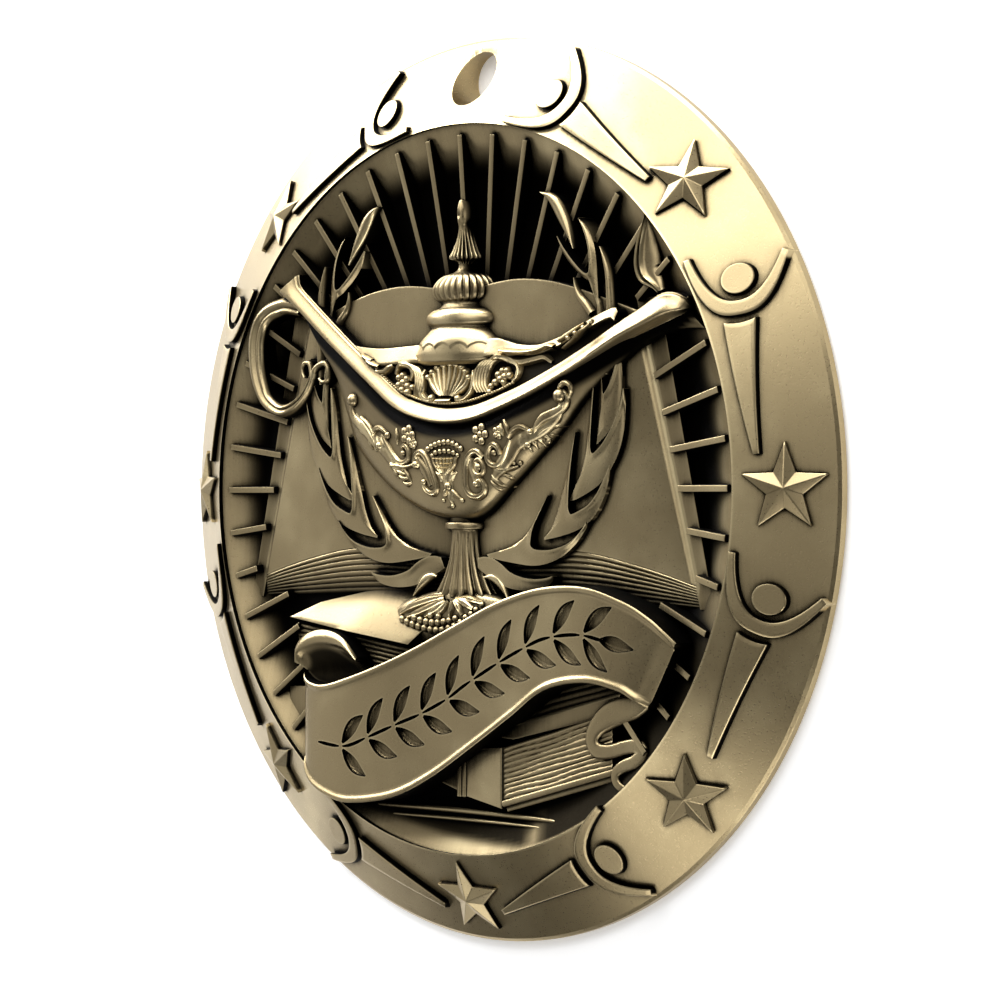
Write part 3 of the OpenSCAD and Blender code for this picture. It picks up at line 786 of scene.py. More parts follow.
laurel = {
    "rise": 2.0,
    "forkSteps": (90, 16),
    "fall": (0.06, 0.1, 0.5),  # rim along the inner line: drop, and where it starts and ends in mm
    "outerFall": 0.08,
    "tips": 0.06,  # how much lower the leaf tips lie
    "round": 0.09,
    "stemSteps": (40, 14),
    "stemFoot": 0.74,
    "clean": -0.2,  # rubbed a little cleaner than the page
    "crease": 40,
    "forks": [  # from the outer tip round the crotch to the inner tip: inner line x, y and outline x, y
        ([(356, -232, 356, -234), (343, -236, 350, -247), (320, -240, 325, -262), (286, -242, 285, -271),
          (246, -238, 240, -273), (200, -225, 190, -268), (165, -203, 150, -256), (130, -188, 118, -243),
          (98, -184, 88, -228), (72, -188, 66, -216)], 0.86),
        ([(485, -88, 485, -90), (462, -116, 478, -106), (418, -146, 438, -150), (358, -162, 374, -188),
          (308, -163, 300, -205), (288, -157, 215, -200), (282, -148, 105, -181), (283, -136, 180, -163),
          (287, -115, 240, -136), (297, -92, 272, -108), (312, -68, 298, -76), (328, -42, 321, -46),
          (343, -18, 342, -17)], 0.97),
        ([(570, 63, 571, 60), (553, 30, 561, 20), (528, -10, 543, -25), (496, -42, 515, -66),
          (458, -60, 475, -98), (438, -67, 410, -121), (430, -66, 326, -136), (424, -54, 350, -110),
          (423, -36, 374, -66), (425, 0, 391, -14), (430, 50, 409, 38), (437, 100, 425, 90),
          (446, 150, 444, 149)], 0.98),
        ([(620, 262, 621, 260), (611, 225, 622, 202), (597, 190, 616, 148), (577, 155, 599, 96),
          (552, 122, 566, 46), (527, 100, 514, 2), (513, 93, 424, -33), (506, 104, 454, 20),
          (505, 125, 477, 88), (507, 160, 486, 140), (510, 200, 494, 190), (514, 250, 503, 245),
          (516, 290, 514, 288)], 1),
        ([(603, 376, 604, 374), (598, 345, 609, 300), (586, 305, 606, 245), (570, 270, 590, 192),
          (556, 252, 562, 150), (552, 248, 520, 117), (549, 256, 530, 160), (547, 275, 534, 210),
          (543, 310, 535, 262), (538, 350, 530, 330), (530, 400, 526, 398)], 0.98),
        ([(455, 718, 456, 716), (478, 680, 488, 686), (493, 640, 508, 644), (499, 600, 517, 604),
          (498, 575, 521, 560), (492, 568, 524, 480), (484, 569, 500, 540), (470, 577, 472, 558),
          (440, 603, 428, 592), (408, 636, 396, 628), (378, 673, 376, 671)], 0.97)],
    "stems": [  # x, y, half width
        ([(560, 300, 4), (564, 340, 12), (567, 400, 14), (569, 450, 15), (567, 500, 14), (562, 560, 12),
          (550, 605, 8), (538, 636, 2)], 0.98),
        ([(530, 400, 6), (528, 440, 12), (526, 475, 10), (524, 500, 4)], 0.86),
        ([(441, 559, 2), (446, 532, 7), (458, 508, 11), (480, 485, 13), (500, 462, 13)], 0.95),
        ([(440, 636, 2), (418, 680, 12), (395, 720, 18), (370, 758, 18), (345, 781, 11),
          (318, 793, 2)], 0.97),
        ([(92, -240, 3), (122, -240, 12), (152, -256, 14), (186, -296, 2)], 0.8)],
}


def leafEdges():
    # the points of every leaf's two edges, in thousandths, for nearest distances
    points = [(c[i], c[i + 1], 0) for rows, high in laurel["forks"]
              for c in smoothRows(rows, 120) for i in (0, 2)]
    tree = KDTree(len(points))
    for i, point in enumerate(points):
        tree.insert(point, i)
    tree.balance()
    return tree


def makeLaurel():
    for side, name in ((1, "laurelRight"), (-1, "laurelLeft")):
        whole = bmesh.new()
        for rows, high in laurel["forks"]:
            top = laurel["rise"] * high
            lines = smoothRows([[n * share for n in r] for r in rows], laurel["forkSteps"][0])
            drop, start, end = laurel["fall"]

            def fork(u, v):
                c = rowAt(lines, u)
                k = 0.5 - 0.5 * math.cos(math.pi * v)
                across = k * math.hypot(c[2] - c[0], c[3] - c[1])
                crown = 1 - drop * ease(across, start, end) - laurel["outerFall"] * k ** 3
                crown *= 1 - laurel["tips"] + laurel["tips"] * math.sin(math.pi * u)
                x, y = acrossRow(c, k)
                return (side * x, y, medal["floor"] + top * crown)

            join(whole, [standOnFloor(sheet(*laurel["forkSteps"], fork), edge=laurel["round"])])
        for rows, high in laurel["stems"]:
            top = laurel["rise"] * high
            low = medal["floor"] + top * laurel["stemFoot"]
            stem = inShares([(x * side, y, w) for x, y, w in rows], low, medal["floor"] + top)
            join(whole, [strand(stem, *laurel["stemSteps"])])
        finishPiece(whole, name, laurel["crease"], lambda x, y: laurel["clean"])


makeBook()
makeLaurel()
print("book and laurel ready")


lamp = {
    "rise": 3.7,
    "lid": [  # y, half width, height share
        (796, 4, 0.36), (790, 14, 0.42), (768, 21, 0.46), (742, 21, 0.46), (722, 16, 0.43), (706, 19, 0.43),
        (682, 27, 0.46), (655, 41, 0.52), (634, 53, 0.57), (624, 24, 0.42), (606, 21, 0.42), (594, 40, 0.5),
        (584, 82, 0.64), (562, 108, 0.76), (540, 112, 0.78), (522, 100, 0.72), (511, 76, 0.64),
        (498, 86, 0.7), (491, 110, 0.78), (476, 130, 0.85), (456, 131, 0.86), (444, 115, 0.79),
        (436, 119, 0.82), (407, 151, 0.94), (377, 177, 0.985), (361, 180, 0.98), (350, 170, 0.93),
        (340, 144, 0.84)],
    "stem": [(-50, 62, 0.7), (-74, 56, 0.54), (-88, 58, 0.5), (-92, 71, 0.57), (-108, 71, 0.57),
             (-115, 52, 0.47), (-175, 58, 0.48), (-225, 76, 0.52), (-262, 98, 0.56), (-290, 116, 0.58),
             (-297, 100, 0.52)],
    "foot": [(-278, 90, 0.46), (-302, 205, 0.52), (-338, 265, 0.55), (-378, 250, 0.52), (-420, 180, 0.42),
             (-446, 80, 0.3)],
    "footX": -15,
    "columns": [  # lip x and y, keel x and y, lip half width, lip share, belly share
        (-675, 588, -668, 560, 46, 0.82, 0.6), (-650, 562, -640, 520, 30, 0.84, 0.62),
        (-590, 516, -590, 440, 27, 0.84, 0.66), (-505, 452, -540, 375, 27, 0.86, 0.7),
        (-420, 391, -486, 305, 26, 0.88, 0.74), (-315, 318, -446, 208, 26, 0.9, 0.8),
        (-200, 244, -398, 112, 27, 0.94, 0.85), (-100, 211, -262, -4, 27, 0.97, 0.89),
        (0, 198, -84, -76, 27, 0.98, 0.91), (100, 205, 84, -76, 27, 0.97, 0.91),
        (194, 229, 218, 14, 27, 0.96, 0.89), (308, 266, 310, 85, 27, 0.94, 0.86),
        (420, 310, 400, 158, 27, 0.92, 0.82), (520, 355, 490, 245, 27, 0.9, 0.77),
        (620, 403, 610, 330, 28, 0.88, 0.7), (705, 437, 712, 392, 32, 0.86, 0.62),
        (785, 468, 822, 410, 37, 0.84, 0.55), (826, 472, 895, 408, 24, 0.78, 0.46)],
    "shoulder": [(-505, 455), (-450, 426), (-400, 406), (-300, 394), (-200, 396), (-100, 400), (0, 402),
                 (100, 405), (165, 408), (205, 399), (250, 388), (308, 384), (345, 388), (420, 408),
                 (520, 448), (596, 472), (614, 462)],
    "shoulderFirst": 3,
    "ledge": (46, 26, 170, 270),  # slope along the top edge: width left and right, where it changes
    "ledgeEnd": (0.95, 1.25),  # shares of its width where it drops to the sunk field
    "fieldRise": (1.2, 4),
    "shoulderHeights": (0.62, 0.14, 0.12),  # top edge, rise over the ledge, slow rise over the field
    "fieldBlack": (0.97, 1.0, 1.25),
    "shoulderTuck": (12, 4),  # below the lip's line, and at least below its own top
    "shoulderRound": 0.15,
    "handle": [(-640, 520, 22), (-700, 531, 24), (-741, 526, 26), (-781, 514, 27), (-816, 487, 29),
               (-835, 440, 31), (-837, 392, 31), (-831, 345, 30), (-813, 295, 27), (-784, 255, 23),
               (-729, 229, 19), (-676, 237, 18), (-632, 263, 17), (-600, 297, 15), (-582, 330, 13)],
    "curls": [[(-582, 322, 10), (-587, 342, 10), (-594, 361, 9), (-613, 363, 8), (-623, 349, 8),
               (-618, 332, 6), (-611, 322, 4)],
              [(-582, 322, 10), (-570, 346, 10), (-541, 360, 10), (-522, 357, 10), (-513, 338, 9),
               (-517, 314, 9), (-536, 307, 7), (-549, 318, 5)]],
    "handleRise": 2.5,
    "flame": [(694, 712, 3), (693, 690, 12), (691, 660, 25), (688, 630, 36), (688, 600, 43), (690, 578, 44),
              (697, 560, 41), (712, 545, 30), (730, 528, 18), (742, 512, 10)],
    "flameRise": 2.0,
    "flameRound": 0.5,
    "flameFolds": [(0.45, -0.72, 0.14), (0.35, -0.3, 0.14)],  # height, place across, width
    "handleGroove": (0.4, 0.15, 0.28),
    "lipFoot": 0.7,  # the lip's edges, share of its crest
    "lipTip": [(838, 468, 20, 0.5, 0.72), (850, 464, 4, 0.45, 0.5)],  # x, y, half width, height shares
    "lipSection": [(1, -1.05, -0.5), (-0.62, -0.55, 0.97), (-0.3, 0.8, 1)],  # change of height, from, to
    "keelShare": 0.4,
    "keelSink": 0.9,
    "belly": (2.6, 0.5),
    "tuck": (0.3, 0.2, 1.3),  # under the lip: how far, over what share of the bowl, its curve
    "grooveAndShadowBlack": (24, 44, 40, 140),  # from the lip's edge, in two halves
    "turnedFoot": 0.3,  # border of the turned parts, share of their crest
    "sides": {"handle": (0.75, 0), "curl": (0.6, 0.05), "flame": (0.9, 0)},  # mm below the top: edge, crest
    "steps": {"bowl": (100, 30), "groove": 160, "shoulder": (90, 40), "lip": (140, 20), "handle": (90, 16),
              "curl": (30, 10), "flame": (50, 22), "lid": (220, 200), "stem": (90, 150), "foot": (40, 40)},
    "crease": 45,
}


turned = {  # folds in the turned parts: heights in thousandths, bearings in radians, depths as shares
    "tassel": {"from": 618, "top": 722, "fade": 60, "deep": 0.12, "folds": 22},
    "knob": (0.12, (0.9, 0.35), (730, 9)),
    "eye": (0.14, (-0.2, 0.3), (752, 7)),
    "cushion": {"from": 512, "to": 592, "deep": 0.08, "folds": 26, "sway": (0.6, 3), "ends": 0.6},
    "bell": {"from": 350, "to": 444, "deep": 0.03, "start": 362, "step": 384, "soft": 3,
             "scallop": (15, 26, 60, 0.7)},
    "stem": {"top": -118, "fade": 110, "deep": (0.02, 0.085), "folds": 18, "sharp": 1.5,
             "scallop": (0.1, -274, 18)},
}


def lathe(rows, steps, atX=0.0, detail=None):
    # half-round forms down the axis, flattened towards the floor
    count, around = steps
    pts = smoothRows([(r[0] * share, r[1] * share, lamp["rise"] * r[2]) for r in rows], count)

    def shape(u, v):
        y, half, top = rowAt(pts, u)
        a = (v - 0.5) * math.pi
        k = 1 + (detail(a, y / share, half * math.sin(a) / share) if detail else 0)
        low = top * lamp["turnedFoot"]
        z = low + (top * k - low) * math.cos(a)
        return (atX * share + half * k * math.sin(a), y, medal["floor"] + z)
    return standOnFloor(sheet(count, around, shape))


def spot(kind, a, y):
    rise, bearing, height = turned[kind]
    return rise * hump(a, *bearing) * hump(y, *height)


def fluted(a, y, x):
    tassel, cushion, bell = turned["tassel"], turned["cushion"], turned["bell"]
    if y > tassel["from"]:  # tassel under a small knob
        deep = tassel["deep"] * ease(tassel["top"] - y, 0, tassel["fade"])
        return spot("knob", a, y) - spot("eye", a, y) - deep * (0.5 + 0.5 * math.cos(a * tassel["folds"]))
    if cushion["from"] < y < cushion["to"]:  # gadrooned cushion
        much, often = cushion["sway"]
        fold = 0.5 + 0.5 * math.cos(a * cushion["folds"] + much * math.sin(a * often))
        along = (y - cushion["from"]) / (cushion["to"] - cushion["from"])
        return -cushion["deep"] * fold ** 2 * math.sin(along * math.pi) ** cushion["ends"]
    if bell["from"] < y < bell["to"]:  # bell with a scalloped step
        high, at, wide, bend = bell["scallop"]
        edge = bell["step"] + high * abs(math.sin((x - at) / wide * math.pi)) ** bend
        under = ease(edge - y, -bell["soft"], bell["soft"])
        return -bell["deep"] * under * ease(y, bell["from"], bell["start"])
    return 0


def stemFlutes(a, y, x):
    stem = turned["stem"]
    if y > stem["top"]:
        return 0
    least, more = stem["deep"]
    deep = min(1, (stem["top"] - y) / stem["fade"]) * more + least
    fold = 0.5 + 0.5 * math.cos(a * stem["folds"])
    much, start, over = stem["scallop"]
    return -deep * fold ** stem["sharp"] - much * max(0, (start - y) / over) * fold


ornament = {
    "bowlScrolls": [  # points, half widths, groove along the middle
        ([(-385, 250), (-398, 232), (-392, 208), (-372, 190), (-345, 174), (-318, 152), (-300, 132),
          (-286, 112)], (8, 13, 17, 19, 17, 13, 7), 0.25),
        ([(-350, 205), (-330, 190), (-308, 172), (-292, 156)], (4, 9, 9, 5), 0),
        ([(-300, 152), (-288, 168), (-264, 171), (-240, 158)], (7, 11, 9, 6), 0.2),
        ([(-256, 152), (-236, 122), (-214, 94), (-192, 77), (-168, 74), (-148, 86), (-146, 108),
          (-160, 122), (-174, 116)], (8, 12, 12, 11, 11, 10, 7), 0.25),
        ([(-222, 68), (-198, 66), (-172, 62), (-146, 64), (-124, 70)], (6, 8, 8, 7, 5), 0),
        ([(-104, 62), (-121, 72), (-118, 92), (-98, 102), (-76, 90), (-60, 62), (-48, 32), (-42, 6),
          (-54, -10), (-76, -8), (-92, 6), (-94, 24)], (8, 11, 12, 12, 12, 12, 11, 10, 7), 0.3),
        ([(128, 60), (118, 74), (134, 80), (146, 62), (138, 42), (118, 40), (106, 58), (110, 84)],
         (9, 9, 8, 8, 8), 0),
        ([(146, 84), (124, 102), (98, 94), (80, 68), (74, 36), (72, 6), (84, -16), (110, -20), (132, -8),
          (138, 12), (126, 28), (110, 22)], (9, 12, 13, 12, 11, 11, 10, 8), 0.3),
        ([(206, 92), (200, 112), (182, 120), (166, 106), (160, 84), (172, 66), (194, 64), (212, 78),
          (230, 104), (246, 132)], (7, 10, 11, 11, 11, 11, 9, 7), 0.25),
        ([(240, 138), (256, 156), (282, 166), (304, 160), (316, 148)], (7, 10, 10, 8, 5), 0.2),
        ([(186, 56), (208, 52), (232, 56), (256, 62)], (4, 8, 8, 4), 0),
        ([(322, 140), (336, 166), (360, 188), (392, 200), (422, 214), (440, 234), (436, 254), (420, 256)],
         (7, 12, 16, 16, 13, 11, 9), 0.25),
        ([(330, 132), (352, 154), (382, 168), (412, 172), (440, 166)], (4, 9, 10, 8, 3), 0),
        ([(424, 266), (440, 280), (456, 276), (462, 260), (450, 240)], (6, 9, 9, 6, 3), 0)],
    "bowlLeaves": [
        [(-318, 150), (-314, 130), (-306, 112)], [(-300, 146), (-294, 126), (-290, 106)],
        [(-282, 148), (-276, 126), (-270, 104)], [(-262, 146), (-254, 126), (-250, 108)],
        [(-368, 176), (-346, 160), (-330, 152)], [(-196, 170), (-192, 146), (-194, 124)],
        [(-205, 54), (-186, 46), (-166, 42)], [(-198, 38), (-176, 30), (-156, 32)],
        [(-182, 20), (-162, 14), (-146, 20)], [(-170, 60), (-158, 40), (-146, 22)],
        [(-212, 60), (-210, 44), (-200, 30)], [(-6, 14), (-20, 34), (-40, 48)],
        [(8, 14), (24, 34), (44, 48)], [(2, 16), (2, 34), (2, 50)], [(-4, 2), (-14, -12), (-22, -30)],
        [(4, -4), (6, -24), (10, -46)], [(12, 2), (30, -14), (50, -30)],
        [(-22, 22), (-20, 36), (-24, 50)], [(24, 22), (24, 36), (28, 50)],
        [(226, 186), (236, 166), (240, 144)], [(214, 176), (218, 158), (220, 142)],
        [(166, 38), (186, 14), (212, 6)], [(160, 22), (178, 2), (200, -6)],
        [(240, 8), (258, 22), (266, 46)], [(200, 40), (222, 32), (242, 18)],
        [(282, 146), (280, 124), (286, 104)], [(298, 144), (300, 122), (304, 98)],
        [(314, 140), (318, 122), (322, 106)], [(338, 152), (336, 132), (342, 112)],
        [(354, 152), (356, 132), (358, 112)], [(370, 150), (374, 134), (374, 118)]],
    "leafWidths": (4, 10, 3),
    "bowlBacks": [  # low soft forms the scrolls grow out of
        ([(-378, 212), (-345, 180), (-305, 148), (-270, 128), (-238, 104), (-206, 72), (-176, 40)],
         (10, 18, 22, 24, 26, 26, 10)),
        ([(430, 236), (392, 192), (348, 162), (300, 144), (256, 124), (222, 92), (188, 56), (166, 26)],
         (10, 20, 22, 24, 26, 30, 28, 10)),
        ([(0, 60), (2, 30), (6, 0), (12, -34)], (30, 26, 20, 10)),
        ([(-116, 88), (-84, 50), (-66, 10)], (12, 20, 10)),
        ([(88, 86), (104, 50), (112, 6)], (12, 24, 12))],
    "bowlBeads": [
        (-384, 252, 20), (-232, 150, 11), (-222, 69, 9), (-118, 68, 12), (-92, 20, 9), (110, 14, 10),
        (128, 60, 12), (6, 8, 13), (9, -46, 7), (50, -31, 7), (-23, -31, 6), (314, 152, 10), (200, 68, 6),
        (222, 70, 6), (244, 70, 6), (262, 70, 8), (425, 246, 20), (-168, 100, 9), (186, 98, 9),
        (-272, 122, 12), (300, 118, 11), (356, 128, 10), (-64, 110, 9), (-50, 117, 9), (-34, 122, 9),
        (-17, 126, 9), (1, 128, 9), (19, 128, 9), (36, 124, 9), (52, 118, 9), (66, 110, 9), (-34, 100, 8),
        (-16, 103, 8), (2, 104, 8), (20, 103, 8), (37, 99, 8), (-48, 92, 7), (52, 92, 7)],
    "flowers": [(-146, 150, 18, 12), (138, 148, 20, 12), (204, 152, 12, 8),
                (-126, 126, 10, 7)],  # x, y, ring, petal
    "petals": (5, 1.257, 0.8),  # number, turn between them, size of the middle bead
    "basket": {"canes": 7, "top": 88, "middle": 68, "bottom": 44, "half": 44, "waist": 39, "low": 14,
               "caneWidths": (6, 7, 5), "bands": (84, 72, 60), "bandShare": 0.55, "bandSag": 2,
               "bandWidths": (3, 3, 3)},
    "shell": [(-80, 306), (-66, 320), (-48, 331), (-26, 338), (-2, 341), (22, 338), (44, 330), (61, 318),
              (74, 302)],
    "shellRibs": {"base": (-2, 256), "spread": 0.34, "middle": (0.8, 0.5), "widths": (8, 12, 10),
                  "bead": (1.03, 2, 11)},
    "shoulderScrolls": [
        ([(-44, 243), (-14, 242), (14, 243)], (7, 9, 7), 0),
        ([(-104, 330), (-116, 306), (-116, 280), (-104, 258), (-84, 246), (-64, 248)],
         (5, 10, 11, 11, 10, 8), 0.2),
        ([(86, 324), (92, 300), (90, 276), (76, 256), (58, 246), (38, 246)], (5, 10, 11, 11, 10, 8), 0.2),
        ([(-160, 302), (-150, 322), (-164, 342), (-188, 348), (-210, 338), (-218, 320)],
         (7, 11, 12, 11, 8), 0.2),
        ([(-298, 330), (-270, 330), (-246, 340), (-226, 346)], (10, 14, 12, 6), 0),
        ([(-330, 366), (-306, 352), (-280, 344)], (5, 9, 6), 0),
        ([(-352, 380), (-330, 368), (-308, 362)], (4, 8, 5), 0),
        ([(152, 350), (178, 356), (208, 354), (240, 344), (264, 326), (264, 302), (248, 290)],
         (7, 11, 12, 12, 11, 7), 0.2),
        ([(200, 372), (240, 368), (290, 366), (340, 370), (376, 380), (402, 376)], (8, 9, 8, 8, 9, 7), 0),
        ([(196, 356), (232, 344), (272, 340), (318, 346), (356, 350), (386, 336)],
         (8, 13, 14, 13, 12, 7), 0.2),
        ([(416, 392), (440, 404), (470, 418), (505, 436)], (7, 9, 8, 4), 0),
        ([(424, 372), (456, 390), (490, 408), (530, 432)], (5, 8, 7, 3), 0)],
    "fans": [  # acanthus: first stroke, step to the next, number
        ([(-196, 352), (-160, 344), (-138, 318), (-132, 286), (-138, 258)], (9, -3), 4, (4, 8, 10, 9, 5)),
        ([(150, 352), (118, 342), (98, 316), (98, 286), (112, 262)], (11, 0), 5, (4, 8, 10, 9, 5))],
    "shoulderBeads": [
        (-66, 250, 12), (38, 247, 12), (160, 262, 11), (-206, 310, 12), (-190, 316, 12), (-174, 306, 12),
        (-204, 290, 12), (-186, 296, 13), (-168, 286, 12), (-188, 276, 12), (-164, 268, 13),
        (-150, 282, 10), (186, 308, 12), (202, 318, 12), (220, 318, 12), (196, 296, 12), (214, 302, 13),
        (234, 304, 12), (178, 288, 12), (212, 286, 11), (162, 278, 10), (452, 398, 8), (478, 410, 8),
        (504, 424, 7), (530, 438, 7)],
    "beadLine": [(-300, 338), (-262, 310), (-228, 290), (-192, 272), (-150, 258), (-100, 245), (-50, 237),
                 (0, 234), (50, 236), (105, 244), (150, 255), (200, 268), (250, 285)],
    "lineBeads": (56, 5, 8),  # steps between them, radius, facets
    "rises": {"scroll": 0.3, "back": 0.14, "leaf": 0.22, "cane": 0.26, "band": 0.3, "rib": 0.5,
              "shoulder": 0.5, "fan": 0.46, "foot": 0.34},
    "beadShapes": {"bowl": 0.9, "flower": 0.6, "shell": 2.0, "shoulder": 1.4, "line": 2.4, "foot": 0.9},
    "clean": {"bowl": -0.3, "shoulder": -0.75, "foot": -0.5},  # how much is rubbed clean
    "footGroove": 0.3,
    "crease": 60,
    "footLeaves": [
        ([(-50, -296), (-110, -306), (-180, -324), (-240, -346)], (8, 15, 14, 6)),
        ([(-45, -304), (-95, -322), (-150, -340), (-206, -354)], (8, 14, 13, 6)),
        ([(-38, -308), (-75, -330), (-122, -350)], (8, 14, 7)),
        ([(-28, -306), (-48, -328), (-76, -346)], (8, 13, 7)),
        ([(-14, -306), (-16, -330), (-22, -350)], (7, 12, 6)),
        ([(-6, -304), (14, -324), (26, -344)], (7, 12, 6)),
        ([(0, -300), (36, -312), (66, -326)], (8, 14, 8)),
        ([(10, -296), (52, -300), (96, -310)], (7, 12, 6))],
    "footBeads": [
        (-232, -362, 12), (-208, -369, 12), (-182, -375, 12), (-156, -380, 12), (-130, -384, 12),
        (-104, -387, 12), (-80, -388, 12), (-56, -386, 11), (-170, -356, 12), (-144, -362, 12),
        (-118, -366, 12), (-94, -368, 12), (-70, -367, 11), (-46, -364, 11), (-100, -348, 10),
        (-66, -350, 10), (-24, -360, 10), (0, -354, 10), (-30, -380, 10), (-6, -374, 10), (18, -364, 10),
        (40, -350, 10), (60, -340, 9), (78, -328, 9), (98, -314, 9)],
}


def makeLamp():
    floor, rise, steps, crease = medal["floor"], lamp["rise"], lamp["steps"], lamp["crease"]
    columns = smoothRows(lamp["columns"], steps["bowl"][0])

    def bowl(u, v):
        c = rowAt(columns, u)
        x, y = acrossRow(c, v)
        top, low = c[6], lamp["keelShare"]
        much, over, bend = lamp["tuck"]
        tuck = much * max(0.0, 1 - v / over) ** bend
        power, root = lamp["belly"]
        z = low + (top - low) * (1 - v ** power) ** root - tuck
        return (x * share, y * share, floor + rise * max(z, low * lamp["keelSink"]))

    bowlMesh = standOnFloor(sheet(*steps["bowl"], bowl))
    bowlTree = BVHTree.FromBMesh(bowlMesh)
    lipLine = [(c[0], c[1], c[4]) for c in smoothRows(lamp["columns"], steps["groove"])]

    def lipShadowAndGroove(x, y):
        # black patina in the groove under the lip, and painted shadow of the lip on the bowl below it
        near = min(math.hypot(x / share - p[0], y / share - p[1]) - p[2] for p in lipLine)
        start, end, nextStart, nextEnd = lamp["grooveAndShadowBlack"]
        return 1 - 0.5 * ease(near, start, end) - 0.5 * ease(near, nextStart, nextEnd)

    finishPiece(bowlMesh, "lampBowl", crease, lipShadowAndGroove)

    tops = smoothRows(lamp["shoulder"], steps["shoulder"][0])
    lows = smoothRows([c[:2] for c in lamp["columns"][lamp["shoulderFirst"]:]], steps["shoulder"][0])

    def downLedge(x, top, y):
        # how far below the top edge, in widths of the ledge
        left, right, start, end = lamp["ledge"]
        return (top - y) / (left + (right - left) * ease(x, start, end))

    def shoulder(u, v):
        x, top = rowAt(tops, u)
        underLine, underTop = lamp["shoulderTuck"]
        y = top + (min(lineAt(lows, x) - underLine, top - underTop) - top) * v
        down = downLedge(x, top, y)
        start, ledgeRise, fieldRise = lamp["shoulderHeights"]
        z = start + ledgeRise * (min(1, down) - ease(down, *lamp["ledgeEnd"]))
        z += fieldRise * ease(down, *lamp["fieldRise"])
        return (x * share, y * share, floor + rise * z)

    def sunkField(x, y):
        black, start, end = lamp["fieldBlack"]
        return black * ease(downLedge(x / share, lineAt(tops, x / share), y / share), start, end)

    shoulderMesh = standOnFloor(sheet(*steps["shoulder"], shoulder), edge=lamp["shoulderRound"])
    shoulderTree = BVHTree.FromBMesh(shoulderMesh)
    finishPiece(shoulderMesh, "lampShoulder", crease, sunkField)

    rows = [(c[0], c[1], c[4], c[5] * lamp["lipFoot"], c[5]) for c in lamp["columns"][:-1]]
    rows += lamp["lipTip"]
    lip = [(x * share, y * share, w * share, floor + rise * low, floor + rise * top)
           for x, y, w, low, top in rows]

    def lipCrown(s):
        # highest along its lower edge and falling towards the shoulder
        return sum(much * ease(s, start, end) for much, start, end in lamp["lipSection"])

    finishPiece(strand(lip, *steps["lip"], lipCrown), "lampLip", crease)

    def bar(rows, kind, top, crown=halfRound):
        side, crest = lamp["sides"][kind]
        return strand(inShares(rows, floor + top - side, floor + top - crest), *steps[kind], crown)

    def handleCrown(s):
        deep, at, width = lamp["handleGroove"]
        return halfRound(s) - deep * hump(s, at, width)

    def flameCrown(s):
        return lamp["flameRound"] * halfRound(s) + sum(
            much * hump(s, at, width) for much, at, width in lamp["flameFolds"])

    parts = [bar(lamp["handle"], "handle", lamp["handleRise"], handleCrown)]
    parts += [bar(curl, "curl", lamp["handleRise"]) for curl in lamp["curls"]]
    finishPiece(join(bmesh.new(), parts), "lampHandle", crease)
    finishPiece(bar(lamp["flame"], "flame", lamp["flameRise"], flameCrown), "lampFlame", crease)
    finishPiece(lathe(lamp["lid"], steps["lid"], detail=fluted), "lampLid", crease)
    finishPiece(lathe(lamp["stem"], steps["stem"], detail=stemFlutes), "lampStem", crease)
    footMesh = lathe(lamp["foot"], steps["foot"], atX=lamp["footX"])
    footTree = BVHTree.FromBMesh(footMesh)
    finishPiece(footMesh, "lampFoot", crease)
    return bowlTree, shoulderTree, footTree


def finishWork(work, kind):
    clean = ornament["clean"][kind]
    finishPiece(work, kind + "Ornament", ornament["crease"], lambda x, y: clean)


